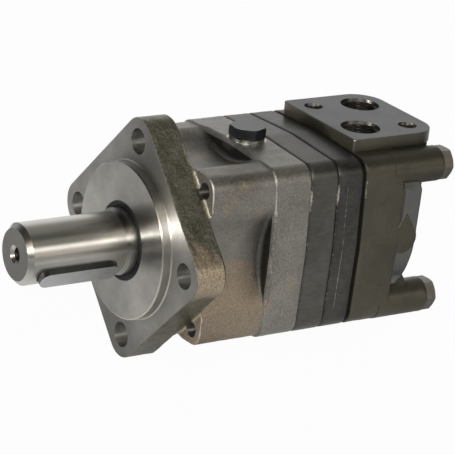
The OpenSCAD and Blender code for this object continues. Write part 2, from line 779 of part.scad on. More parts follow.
module drain_washer() color(steel) {
    translate([0, drain_y, drain_seat_z]) difference() {
        cylinder(r = drain_af / 2 + 1, h = drain_washer_t);
        translate([0, 0, -1]) cylinder(r = drain_d / 2, h = drain_washer_t + 2);
    }
}

module drain_plug() color(black) {
    translate([0, drain_y, drain_seat_z + drain_washer_t]) rotate(drain_turn) {
        intersection() {
            cylinder(d = drain_af / cos(30), h = drain_head_h, $fn = 6);
            cylinder(r1 = drain_af / 2 + drain_head_h * 1.8, r2 = drain_af / 2, h = drain_head_h);
        }
        translate([0, 0, -drain_washer_t - drain_grip]) cylinder(r = drain_d / 2 - fit_gap, h = drain_washer_t + drain_grip);
    }
}

front_housing();
output_shaft();
shaft_key();
dust_seal();
shaft_seal();
front_bearing_cup();
front_bearing_cone();
front_bearing_rollers();
front_bearing_cage();
rear_bearing_cup();
rear_bearing_cone();
rear_bearing_rollers();
rear_bearing_cage();
wear_plate();
housing_seal();
gear_ring();
roller_1();
roller_2();
roller_3();
roller_4();
roller_5();
roller_6();
roller_7();
star_rotor();
main_drive_link();
drive_spacer();
valve_drive_link();
ring_seal();
channel_plate();
cover_seal();
disc_valve();
balance_ring();
balance_springs();
valve_housing();
cover_bolts();
drain_washer();
drain_plug();
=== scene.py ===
"""Looks of the orbital hydraulic motor: castings, machined faces, steel parts, studio and camera.

The shaft axis is Y, the mounting flange's front face lies at y = 0, and the ports face +Z.
Sizes are in millimetres up to the point where a mesh is made.
"""

import math

import bmesh
import bpy
import numpy as np
from mathutils import Matrix, Vector


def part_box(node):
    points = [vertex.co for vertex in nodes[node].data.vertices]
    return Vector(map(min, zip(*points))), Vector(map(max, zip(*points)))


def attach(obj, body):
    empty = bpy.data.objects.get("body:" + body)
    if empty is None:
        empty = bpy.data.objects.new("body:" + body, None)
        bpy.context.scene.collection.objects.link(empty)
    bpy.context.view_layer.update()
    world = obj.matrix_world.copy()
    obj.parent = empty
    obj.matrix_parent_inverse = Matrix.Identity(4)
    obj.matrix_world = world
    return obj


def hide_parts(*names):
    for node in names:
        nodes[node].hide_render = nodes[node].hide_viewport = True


MM = 0.001
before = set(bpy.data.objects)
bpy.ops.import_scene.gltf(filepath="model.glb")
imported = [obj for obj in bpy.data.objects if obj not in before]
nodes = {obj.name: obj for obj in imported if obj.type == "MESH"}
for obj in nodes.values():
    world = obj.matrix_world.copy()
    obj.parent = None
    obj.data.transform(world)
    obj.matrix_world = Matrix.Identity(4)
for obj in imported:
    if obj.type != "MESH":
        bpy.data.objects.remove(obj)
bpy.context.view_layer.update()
scene = bpy.context.scene

# Mounting flange and its pilot
FLANGE_T = 18.0
FLANGE_CORE_R = 50.2
FLANGE_LOBE_R = 12.5
FLANGE_HOLE_CIRCLE_R = 53.2
FLANGE_HOLE_R = 6.75
PILOT_R = 41.25
PILOT_H = 5.4
RECESS_R = 20.7
# The rim's rings lie this far inside the outline, so that their unevenness stays within the CAD's box
RIM_INSET = 0.2

# Body sections and their bolts
BODY_R = 48.6
BOLT_OFFSET = 37.6
BOLT_REACH = BOLT_OFFSET * math.sqrt(2)
BOLTS = [(x, z) for x in (-BOLT_OFFSET, BOLT_OFFSET) for z in (-BOLT_OFFSET, BOLT_OFFSET)]
CORNER_R = 9.2
REAR_FLANGE_Y = 55.5
RING_Y = 77.0
PLATE_Y = 94.0
COVER_Y = 109.0
COLUMN_INSET = 1.0
TAPPED_R = 4.25
TAP_NICK = 1.5
THREAD_HOLE_R = 5.02
BOLT_HOLE_R = 5.4
BOLT_THREAD_Y = 49.0
# Bead left where the halves of the mould met: how far it stands out, and how bright it is, from wear and a
# painted highlight
BEAD_H = 0.22
BEAD_WEAR_AND_HIGHLIGHT = 0.66

# Waist between the flange and the rear flange: the hollows between the bolt columns are shallow dishes
HOLLOW_R = 38.6
HOLLOW_BEND = 0.0105

# Bores inside the housing
BEARING_BORE_R = 31.02
WEAR_BORE_R = 36.02
SEAL_BORE_R = 24.02
SEAL_Y = 3.0
BEARING_Y = 14.0
WEAR_Y = 70.0
# Inner and outer radius and depth of the seal's groove in the rear face
SEAL_GROOVE = (40.9, 43.3, 2.2)

# Gear ring and channel plate
ROLLER_CIRCLE_R = 33.3
ROLLER_POCKET_R = 7.05
POCKET_HALF_ANGLE = 0.2112
RING_BORE_R = 31.9
PLATE_BORE_R = 15.8
CHANNEL_CIRCLE_R = 28.5
CHANNEL_R = 3.0

# Valve housing
COVER_END = 136.5
HUB_END = 150.0
HUB_R = 46.0
BOSS_END = 162.9
BOSS_R = 9.5
# Under a boss the hub's outline runs at this radius, as far as this angle from the boss's middle
UNDER_BOSS_R = 49.0
UNDER_BOSS_ANGLE = 0.177
# Beside the block the hub reaches out to the bosses, up to this radius
BESIDE_BLOCK_R = 54.0
# Radius and y of the cavity for the disc valve and its balance ring, from the front to its end
CAVITY = ((37.0, COVER_Y - 1), (37.0, 121.4), (36.0, 121.4), (36.0, 134.03), (18.0, 134.03), (18.0, 143.03))
GROOVE_W = 2.4
GROOVE_DEPTH = 3.0
PAD_TOP = 54.0
PAD_BOTTOM = 46.0
PAD_HALF_W = 34.0
PAD_FRONT = 111.4
PAD_REAR = 167.4
PAD_CORNER_R = 15.0
PORTS = ((16.4, 127.0), (-16.4, 150.0))
BLOCK_HALF_W = 33.6
BLOCK_END = 161.3
BLOCK_BOTTOM = 20.0
PORT_CORE_R = 9.3
PORT_THREAD_R = 10.48
PORT_PITCH = 1.814
PORT_MOUTH_R = 10.6
PORT_DEPTH = 16.0
STUDS = ((-21.0, 122.5), (21.0, 154.5))
STUD_R = 4.25
STUD_THREAD_R = 5.0
STUD_PITCH = 1.5
STUD_MOUTH_R = 5.1
STUD_DEPTH = 13.0
SIDE_BOSS_Y = 141.6
SIDE_BOSS_R = 7.4
SIDE_BOSS_PEAK = 14.4
SIDE_BOSS_REACH = 46.8

# Drain plug in the top of the rear flange, and the width of the key's broken edges
DRAIN_Y = 66.25
DRAIN_SEAT_Z = 48.2
DRAIN_R = 6.6
DRAIN_DEPTH = 12.0
DRILLING_R = 3.5
DRILLING_END_Z = 20.0
PLUG_FLATS = 17.0
PLUG_HEAD_H = 5.6
PLUG_TURN = -7.0
WASHER_T = 1.5

KEY_EDGE = 0.35

# Points round an outline, and a radius beyond all outlines for where a curve doesn't reach
AROUND = 720
NOWHERE_R = 99.0

# Noise values between which a patch goes from dark to light, and the grain its full way
PATCH_RANGE = (0.36, 0.64)
GRAIN_RANGE = (0.3, 0.7)
# Length in metres of one wave of the wave texture at scale 1
WAVE_M = 0.31416


def linear(code):
    """A colour such as "8E8B86" in sRGB hex, turned to linear light with full alpha."""
    c = np.array([int(code[k:k + 2], 16) for k in (0, 2, 4)]) / 255
    c = np.where(c <= 0.04045, c / 12.92, ((c + 0.055) / 1.055) ** 2.4)
    return (*c.tolist(), 1.0)


def add(tree, kind, options=None, out=0, **sockets):
    """Adds a node, sets its options, fills sockets with values or other outputs, and returns an output.

    kind is its type after ShaderNode, and out the output's name or number. A socket to fill is given by name,
    with _ for a space, or by number, as _6.
    """
    made = tree.nodes.new("ShaderNode" + kind)
    for name, value in (options or {}).items():
        setattr(made, name, value)
    for name, value in sockets.items():
        socket = made.inputs[int(name[1:])] if name[0] == "_" else made.inputs[name.replace("_", " ")]
        if isinstance(value, bpy.types.NodeSocket):
            tree.links.new(value, socket)
        else:
            socket.default_value = value
    return made.outputs[out] if made.outputs else None


SMOOTHSTEP = {"interpolation_type": "SMOOTHSTEP"}
ADD = {"operation": "ADD"}
SCALE = {"operation": "SCALE"}
MULTIPLY = {"operation": "MULTIPLY"}
MULTIPLY_ADD = {"operation": "MULTIPLY_ADD"}
DOT = {"operation": "DOT_PRODUCT"}


def per_metre(size_mm):
    """Texture scale on Object coordinates, in metres, for a pattern whose cells are size_mm wide."""
    return 1 / (size_mm * MM)


def blank(name):
    """A new material without nodes, and its node tree."""
    material = bpy.data.materials.new(name)
    material.use_nodes = True
    material.node_tree.nodes.clear()
    return material, material.node_tree


def painted_shade_on_ends(tree, colour, place, end_shade):
    """The colour with painted shade: darkened to the given share on faces square to the axis, and by the flange
    on slanted ones.
    """
    normal = add(tree, "TexCoord", out="Normal")
    square = add(tree, "SeparateXYZ", out="Y", Vector=normal)
    square = add(tree, "Math", {"operation": "ABSOLUTE"}, _0=square)
    along = add(tree, "SeparateXYZ", out="Y", Vector=place)
    # Near the flange the painted shade reaches slanted faces as well
    collar_shade = add(tree, "MapRange", Value=along, From_Min=-40 * MM, From_Max=-30 * MM, To_Max=0.6)
    square = add(tree, "Math", ADD, _0=square, _1=collar_shade)
    share = add(tree, "MapRange", Value=square, From_Min=0.85, From_Max=0.95, To_Min=1.0, To_Max=end_shade)
    return add(tree, "VectorMath", SCALE, _0=colour, Scale=share)


def stained(tree, colour, place, tone, size_mm, share, top_mm, bottom_mm):
    """The colour with blots of a second tone over it, size_mm wide, that gather between two heights.

    share is how much they cover. They thin out towards the sections.
    """
    blot = add(tree, "TexNoise", Vector=place, Scale=per_metre(size_mm), Detail=3.0, Roughness=0.55)
    at = add(tree, "SeparateXYZ", Vector=place).node.outputs
    # On each axis the blots grow or shrink by change from start to end
    for axis, start, end, change in (("Z", top_mm + 8, top_mm - 6, 0.4),
                                     ("Z", bottom_mm + 6, bottom_mm - 8, -0.4), ("Y", 50, 56, -0.4)):
        change = add(tree, "MapRange", SMOOTHSTEP, Value=at[axis],
                     From_Min=start * MM, From_Max=end * MM, To_Max=change)
        blot = add(tree, "Math", ADD, _0=blot, _1=change)
    cover = add(tree, "MapRange", SMOOTHSTEP, Value=blot,
                From_Min=0.6 - 0.3 * share, From_Max=0.74 - 0.3 * share)
    return add(tree, "Mix", {"data_type": "RGBA"}, 2, _0=cover, _6=colour, _7=linear(tone))


def tool_marks(tree, height, place, axis, pitch_mm, depth_mm):
    """The height with a tool's marks added: rings round the shaft axis for "r", bands across it for "y"."""
    kinds = {"r": {"wave_type": "RINGS", "rings_direction": "Y"},
             "y": {"wave_type": "BANDS", "bands_direction": "Y"}}
    wave = add(tree, "TexWave", kinds[axis], "Fac", Vector=place, Scale=WAVE_M / (pitch_mm * MM),
               Distortion=1.2, Detail=1.0, Detail_Scale=1.0)
    return add(tree, "Math", MULTIPLY_ADD, _0=wave, _1=depth_mm * MM, _2=height)


def worn_edges(tree, colour, place, worn_tone):
    """The colour, chipped to the metal where the attribute is above 0, from wear and on some edges as a painted
    highlight, and darkened with painted shade where it is below.
    """
    worn = add(tree, "Attribute", {"attribute_name": "worn"}, "Fac")
    # Painted shade: below 0 the attribute darkens the colour, in the housing's deep hollows and on the key's
    # sides
    painted_shade = add(tree, "MapRange", Value=worn, From_Min=-1.0, From_Max=0.0, To_Min=0.3, To_Max=1.0)
    colour = add(tree, "VectorMath", SCALE, _0=colour, Scale=painted_shade)
    chips = add(tree, "TexNoise", Vector=place, Scale=per_metre(1.6), Detail=2.0, Roughness=0.7)
    # Above 0 the metal shows through, from wear, and on edges by the upper corners and sides as a painted
    # highlight
    bare_and_highlight = add(tree, "Math", MULTIPLY_ADD, _0=worn, _1=1.15, _2=chips)
    bare_and_highlight = add(tree, "MapRange", SMOOTHSTEP, Value=bare_and_highlight, From_Min=0.95, From_Max=1.45)
    return add(tree, "Mix", {"data_type": "RGBA"}, 2, _0=bare_and_highlight, _6=colour, _7=linear(worn_tone))


def highlight_way(tree, place, tangent):
    """The way a highlight runs, in world axes: out from the shaft axis for "radial", along it otherwise."""
    if tangent == "radial":
        way = add(tree, "VectorMath", MULTIPLY, _0=place, _1=(1, 0, 1))
        way = add(tree, "VectorMath", {"operation": "NORMALIZE"}, _0=way)
    else:
        way = add(tree, "CombineXYZ", Y=1.0)
    turned_to = {"vector_type": "VECTOR", "convert_from": "OBJECT", "convert_to": "WORLD"}
    return add(tree, "VectorTransform", turned_to, Vector=way)


def metal(name, dark, light, patch_mm, grain_mm, grain_depth_mm, metallic, roughness, spread=0.08,
          speckle=0.25, worn_tone="D8D2C4", lines=None, stretch=None, tangent=None, anisotropy=0.0,
          stain=None, end_shade=1.0):
    """A metal in patches of two tones, with a grain, with the traces of tools and wear, and with painted
    highlights and painted shade.

    The grain varies the tone by speckle and the roughness by spread, and stretch scales it along X, Y and Z.
    lines holds what tool_marks takes after place, and stain what stained does. tangent, "radial" or "axial",
    is the way a highlight runs on a turned or a ground surface.
    """
    material, tree = blank(name)
    place = add(tree, "TexCoord", out="Object")
    patch = add(tree, "TexNoise", Vector=place, Scale=per_metre(patch_mm), Detail=4.0, Roughness=0.6)
    colour = add(tree, "ValToRGB", Fac=patch)
    for stop, position, tone in zip(colour.node.color_ramp.elements, PATCH_RANGE, (dark, light)):
        stop.position, stop.color = position, linear(tone)
    # Painted shade on faces square to the axis, when the share for the ends is below 1
    if end_shade < 1:
        colour = painted_shade_on_ends(tree, colour, place, end_shade)
    if stain:
        colour = stained(tree, colour, place, *stain)
    grain_place = place
    if stretch:
        grain_place = add(tree, "Mapping", Vector=place, Scale=stretch)
    grain = add(tree, "TexNoise", Vector=grain_place, Scale=per_metre(grain_mm), Detail=3.0, Roughness=0.65)
    low, high = GRAIN_RANGE
    tint = add(tree, "MapRange", Value=grain, From_Min=low, From_Max=high,
               To_Min=1 - speckle, To_Max=1 + speckle)
    colour = add(tree, "VectorMath", SCALE, _0=colour, Scale=tint)
    rough = add(tree, "MapRange", Value=grain, From_Min=low, From_Max=high,
                To_Min=roughness - spread, To_Max=roughness + spread)
    height = add(tree, "Math", MULTIPLY, _0=grain, _1=grain_depth_mm * MM)
    if lines:
        height = tool_marks(tree, height, place, *lines)
    bump = add(tree, "Bump", Height=height, Strength=1.0, Distance=1.0)
    drawn_out = {}
    if tangent:
        drawn_out = {"Anisotropic": anisotropy, "Tangent": highlight_way(tree, place, tangent)}
    surface = add(tree, "BsdfPrincipled", Base_Color=worn_edges(tree, colour, place, worn_tone),
                  Metallic=metallic, Roughness=rough, Normal=bump, **drawn_out)
    add(tree, "OutputMaterial", Surface=surface)
    return material


# Grey cast iron from a sand mould, phosphated brown: speckled by the sand, bright where its edges wear, with a
# painted highlight on edges by the upper corners and sides and painted shade in the deep hollows
sand_cast = metal("sand_cast_iron", "827E77", "94908A", 24, 0.9, 0.17, 0.8, 0.38, speckle=0.34,
                  stain=("9C8E7C", 14, 0.1, -5, -60))
# The flange's rim, left as it came out of the sand: coarse, dark olive, with bright specks
rim_cast = metal("raw_sand_cast_rim", "767263", "8B887A", 9, 0.9, 0.2, 0.85, 0.36, speckle=0.5,
                 worn_tone="CDBB93", stain=("B5A58E", 12, 0.0, 11, -8))
# The flange's face, turned: bright grey, with rings wider than the real feed marks so that they show
faced = metal("faced_iron", "9F9C97", "B2AFAA", 16, 0.7, 0.003, 1.0, 0.48, spread=0.03, speckle=0.07,
              lines=("r", 0.8, 0.001), tangent="radial", anisotropy=1.0)
# The pilot's face, turned finer, with a narrower highlight
faced_pilot = metal("finely_faced_iron", "9A9792", "ACA9A4", 16, 0.7, 0.0004, 1.0, 0.25, spread=0.015,
                    speckle=0.05, lines=("r", 0.6, 0.0008), tangent="radial", anisotropy=1.0)
# Bored and drilled walls: bright, with feed marks across the axis that draw a highlight out along it
bored = metal("bored_iron", "BAB8B3", "D2D0CB", 12, 0.8, 0.0006, 1.0, 0.3, spread=0.02, speckle=0.04,
              lines=("y", 1.0, 0.003), tangent="axial", anisotropy=0.95)
# Gear ring: ground flat, then phosphated dark grey
section_iron = metal("phosphated_ground_iron", "565550", "63615C", 20, 0.9, 0.03, 0.8, 0.38,
                     stretch=(1.0, 0.18, 1.0), speckle=0.22)
# Channel plate: the same, darker
plate_iron = metal("phosphated_plate_iron", "444341", "51504D", 14, 0.9, 0.04, 0.8, 0.36,
                   stretch=(1.0, 0.3, 1.0), speckle=0.26)
# Valve housing casting: shot blasted smooth and phosphated dark
dark_cast = metal("blasted_phosphated_iron", "545146", "605C50", 26, 1.0, 0.05, 0.75, 0.4, speckle=0.14)
# The same casting round the hub, paler and bluer: a painted reflection of bright light from the side
hub_cast_painted_reflection = metal("hub_iron_painted_reflection", "6A6B69", "747573", 20, 1.0, 0.03, 0.6, 0.42, speckle=0.1)
# Port face: milled, then phosphated with the casting
milled = metal("milled_phosphated_iron", "585959", "656666", 18, 0.9, 0.003, 0.85, 0.4, speckle=0.05,
               lines=("y", 1.1, 0.003))
# Threads and drilled passages in the dark casting
dark_bore = metal("tapped_dark_iron", "45443F", "6E6B64", 8, 0.7, 0.01, 0.85, 0.35, speckle=0.1)
# Shaft: turned and ground steel, bare and oiled, with one long highlight, and painted shade on its end faces and
# by the flange
ground_steel = metal("ground_steel", "BDBAB3", "C9C6BF", 40, 0.8, 0.0008, 1.0, 0.24, spread=0.02,
                     speckle=0.03, lines=("y", 0.9, 0.0012), tangent="axial", anisotropy=0.85, end_shade=0.5)
# Key: bright drawn bar, dull from handling
drawn_steel = metal("drawn_key_steel", "BCBDBD", "C8C9C9", 14, 0.8, 0.003, 1.0, 0.34, speckle=0.06,
                    stretch=(1.0, 0.2, 1.0))
# Drain plug: blackened steel with a grey sheen on top
black_steel = metal("blackened_steel", "323438", "3C3E42", 10, 0.8, 0.0008, 0.5, 0.24, spread=0.03,
                    speckle=0.04)
# Body bolts: phosphated screws
bolt_steel = metal("phosphated_bolt_steel", "706D66", "858178", 8, 0.8, 0.015, 0.8, 0.38, speckle=0.12)
# Sealing washer: bright zinc plated ring
washer_steel = metal("zinc_plated_washer", "C2BFB8", "D6D3CB", 8, 0.7, 0.002, 1.0, 0.3, speckle=0.05)
# Bearing rings and rollers: hardened and ground, almost a mirror
bearing_steel = metal("hardened_bearing_steel", "B4B4B2", "C6C6C4", 20, 0.8, 0.001, 1.0, 0.16, spread=0.03,
                      speckle=0.04)
# Cages and springs: pressed or drawn steel
pressed_steel = metal("pressed_steel", "8F8E90", "A3A2A4", 12, 0.8, 0.004, 1.0, 0.36, speckle=0.08)
# Gear set and links: machined, hardened, oiled
gear_steel = metal("hardened_gear_steel", "8A8884", "A09E99", 16, 0.8, 0.003, 1.0, 0.28, speckle=0.06)
# Disc valve and balance ring: lapped bronze
valve_bronze = metal("lapped_bronze", "9E7C48", "B8945C", 16, 0.8, 0.002, 1.0, 0.3, speckle=0.06)


def rubber(name, dark, light):
    """Moulded nitrile rubber: near black, with a soft sheen and a fine mould grain."""
    material, tree = blank(name)
    place = add(tree, "TexCoord", out="Object")
    grain = add(tree, "TexNoise", Vector=place, Scale=per_metre(1.0), Detail=3.0)
    colour = add(tree, "ValToRGB", Fac=grain)
    for stop, tone in zip(colour.node.color_ramp.elements, (dark, light)):
        stop.color = linear(tone)
    bump = add(tree, "Bump", Height=grain, Strength=0.4, Distance=0.05 * MM)
    surface = add(tree, "BsdfPrincipled", Base_Color=colour, Roughness=0.5, IOR=1.5, Specular_IOR_Level=0.2,
                  Normal=bump)
    add(tree, "OutputMaterial", Surface=surface)
    return material


# Lip seals and sealing rings
seal_rubber = rubber("nitrile_rubber", "0E0E0F", "1C1C1E")


def grid_faces(rings, around, loop):
    """Quads between neighbouring rings, as rows of four point numbers. loop joins the last ring to the first."""
    j = np.arange(rings if loop else rings - 1)[:, None]
    i = np.arange(around)[None, :]
    a, b = j * around + i, j * around + (i + 1) % around
    up = ((j + 1) % rings) * around
    return np.stack([a, b, up + (i + 1) % around, up + i], -1).reshape(-1, 4)


def placed(name, data):
    """A new object with that data, at the origin of the scene."""
    made = bpy.data.objects.new(name, data)
    scene.collection.objects.link(made)
    return made


def give(piece, *materials):
    """Appends materials to a piece, whose faces count them from 0."""
    for material in materials:
        piece.data.materials.append(material)


def solid(name, points, zones, worn=0.0, loop=True):
    """A closed mesh from points[ring, step, xyz] in millimetres.

    The rings close on themselves. With loop the last ring is joined to the first, and otherwise each end is
    closed to a point in its middle. zones holds the material number of the band that follows each ring. The
    faces are turned outwards by the sign of the volume.
    """
    rings, around = points.shape[:2]
    flat = points.reshape(-1, 3)
    quads = grid_faces(rings, around, loop)
    zone = np.repeat(np.asarray(zones)[:rings if loop else rings - 1], around)
    worn = np.broadcast_to(worn, (rings, around)).reshape(-1)
    tris = np.zeros((0, 3), int)
    if not loop:
        i = np.arange(around)
        n = len(flat)
        flat = np.vstack([flat, points[0].mean(0), points[-1].mean(0)])
        last = (rings - 1) * around
        tris = np.vstack([np.stack([(i + 1) % around, i, np.full(around, n)], 1),
                          np.stack([last + i, last + (i + 1) % around, np.full(around, n + 1)], 1)])
        zone = np.concatenate([zone, np.full(around, zones[0]), np.full(around, zones[-1])])
        worn = np.concatenate([worn, [0, 0]])
    split = np.vstack([quads[:, [0, 1, 2]], quads[:, [0, 2, 3]], tris])
    a, b, c = flat[split[:, 0]], flat[split[:, 1]], flat[split[:, 2]]
    if np.einsum("ij,ij->", a, np.cross(b, c)) < 0:
        quads, tris = quads[:, ::-1], tris[:, ::-1]
    mesh = bpy.data.meshes.new(name)
    sizes = np.concatenate([np.full(len(quads), 4), np.full(len(tris), 3)])
    starts = np.concatenate([[0], np.cumsum(sizes)[:-1]])
    mesh.vertices.add(len(flat))
    mesh.vertices.foreach_set("co", (flat * MM).astype(np.float32).ravel())
    mesh.loops.add(int(sizes.sum()))
    mesh.loops.foreach_set("vertex_index", np.concatenate([quads.ravel(), tris.ravel()]).astype(np.int32))
    mesh.polygons.add(len(sizes))
    mesh.polygons.foreach_set("loop_start", starts.astype(np.int32))
    mesh.polygons.foreach_set("material_index", np.asarray(zone, np.int32))
    mesh.update(calc_edges=True)
    mesh.attributes.new("worn", "FLOAT", "POINT").data.foreach_set("value", worn.astype(np.float32))
    return placed(name, mesh)


def join(name, pieces):
    """Several meshes made one, each kept as a closed shell."""
    with bpy.context.temp_override(active_object=pieces[0], selected_editable_objects=pieces):
        bpy.ops.object.join()
    pieces[0].name = name
    return pieces[0]


def carve(piece, other, how):
    """The exact boolean of two closed pieces, written back into the first; the second is removed."""
    modifier = piece.modifiers.new("carve", "BOOLEAN")
    modifier.operation, modifier.solver, modifier.object = how, "EXACT", other
    modifier.material_mode = "TRANSFER"
    made = bpy.data.meshes.new_from_object(piece.evaluated_get(bpy.context.evaluated_depsgraph_get()))
    piece.modifiers.clear()
    old = piece.data
    piece.data = made
    bpy.data.meshes.remove(old)
    bpy.data.objects.remove(other)


def dress(piece, body, stands_for, crisp_deg=32):
    """Gives a piece smooth shading with crisp edges and its body, and hides the CAD node it stands for."""
    piece.data.polygons.foreach_set("use_smooth", np.ones(len(piece.data.polygons), bool))
    piece.data.set_sharp_from_angle(angle=math.radians(crisp_deg))
    flat = piece.modifiers.new("even_normals", "WEIGHTED_NORMAL")
    flat.keep_sharp = True
    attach(piece, body)
    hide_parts(stands_for)


def on_axis(y, r, theta):
    """Points at the angle theta round the shaft axis: x = r cos theta, z = r sin theta."""
    y, r = np.broadcast_arrays(y, r)
    y, r = y * np.ones_like(theta), r * np.ones_like(theta)
    return np.stack([r * np.cos(theta), y, r * np.sin(theta)], -1)


def turned(name, profile, axis="y", centre=(0, 0, 0), around=64):
    """A profile of (radius, height) turned about an axis through centre. height runs along that axis."""
    t = np.arange(around) * 2 * math.pi / around
    rh = np.array(profile, float)
    r, h = rh[:, :1] * np.ones(around), rh[:, 1:] * np.ones(around)
    c, s = r * np.cos(t), r * np.sin(t)
    order = {"y": (c, h, s), "z": (c, s, h)}[axis]
    return solid(name, np.stack(order, -1) + np.array(centre), [0] * len(profile), loop=False)


def lobed(theta, core, reach, lobe, first):
    """Radius of an outline round the shaft axis, for each angle.

    It is a circle of radius core with four lobes, circles of radius lobe centred reach from the axis at first
    and every quarter turn from it, joined by straight lines that touch both circles.
    """
    a = np.abs((theta - first + math.pi / 4) % (math.pi / 2) - math.pi / 4)
    spread = math.acos((core - lobe) / reach)
    touch = math.atan2(lobe * math.sin(spread), reach + lobe * math.cos(spread))
    end = reach * np.cos(a) + np.sqrt(np.maximum(lobe**2 - (reach * np.sin(a)) ** 2, 0))
    return np.where(a < touch, end, np.where(a < spread, core / np.cos(spread - a), core))


def soft_max(a, b, width):
    """The larger of two radii, with the corner between them filled over that width."""
    h = np.maximum(width - np.abs(a - b), 0) / width
    return np.maximum(a, b) + h * h * width / 4


def soft_min(a, b, width):
    """The smaller of two radii, with the corner between them rounded off over that width."""
    return -soft_max(-a, -b, width)


def sand(points, size_mm, seed):
    """An unevenness from about -1 to 1: the sum of eight seeded sine waves of about that length."""
    rng = np.random.default_rng(seed)
    ways = rng.normal(size=(8, 3))
    pace = (2 * math.pi / size_mm) * rng.uniform(0.6, 1.5, (8, 1))
    ways *= pace / np.linalg.norm(ways, axis=1, keepdims=True)
    return np.sin(points @ ways.T + rng.uniform(0, 2 * math.pi, 8)).mean(-1) * 1.6


def body_radius(theta, inset=0.0):
    """Outline of the body sections, a rounded square with a bolt in each corner, pulled in by inset."""
    return lobed(theta, BODY_R - inset, BOLT_REACH, CORNER_R - inset, math.pi / 4)


def waist_radius(theta):
    """Outline of the housing between its flanges: four bolt columns with a dished hollow on each side.

    A hollow's height h over the axis is HOLLOW_R + HOLLOW_BEND s^2, s being the distance from its middle.
    Along a ray at the angle a from that middle, h = r cos a and s = r sin a, which gives its nearer crossing,
    r = 2 HOLLOW_R / (cos a + sqrt(cos^2 a - 4 HOLLOW_R HOLLOW_BEND sin^2 a)).
    """
    a = np.abs((theta + math.pi / 4) % (math.pi / 2) - math.pi / 4)
    inside = np.cos(a)**2 - 4 * HOLLOW_R * HOLLOW_BEND * np.sin(a)**2
    dish = 2 * HOLLOW_R / (np.cos(a) + np.sqrt(np.maximum(inside, 0)))
    return soft_min(body_radius(theta, COLUMN_INSET), np.where(inside > 0, dish, NOWHERE_R), 4.0)


# Material numbers of the castings. 3 is the flange's rim on the one and the hub on the other
FACED, CAST, BORED, RIM, HUB, PILOT = 0, 1, 2, 3, 3, 4
TURN = np.arange(AROUND) * 2 * math.pi / AROUND


def smooth(x, low, high):
    """0 below low, 1 above high, and a smooth ramp between them."""
    u = np.clip((x - low) / (high - low), 0, 1)
    return u * u * (3 - 2 * u)


# Degrees above the shaft axis, and where edges show wear and a painted highlight: by the upper corners and along
# the sides
ABOVE = np.degrees(np.arctan2(np.sin(TURN), np.abs(np.cos(TURN))))
WEAR_AND_HIGHLIGHT_AT_CORNER = smooth(ABOVE, 24, 31) * smooth(-ABOVE, -41, -37)
WEAR_AND_HIGHLIGHT_AT_SIDE = smooth(-np.abs(ABOVE), -41, -34)
# Stretches of the flange's rear edge where flash was ground off
AT_FLASH = smooth(ABOVE, 61, 64) * smooth(-ABOVE, -77, -74)


class Profile:
    """Rings of a casting, each with its y and radius at all angles, material, wear with painted highlight and
    shade, and unevenness.
    """

    def __init__(self, theta):
        self.theta, self.y, self.r, self.zone, self.worn, self.rough = theta, [], [], [], [], []

    def to(self, y, r, zone, worn=0.0, rough=0.0):
        one = np.ones_like(self.theta)
        for store, value in ((self.y, y), (self.r, r), (self.worn, worn)):
            store.append(value * one)
        self.zone.append(zone)
        self.rough.append(rough)

    def points(self, seed):
        """Points of the rings, moved along the radius by the unevenness of the mould."""
        p = on_axis(np.array(self.y), np.array(self.r), self.theta)
        wave = 0.10 * sand(p, 9, seed) + 0.07 * sand(p, 3.4, seed + 1) + 0.12 * sand(p, 30, seed + 2)
        return p + on_axis(0 * wave, wave * np.array(self.rough)[:, None], self.theta)


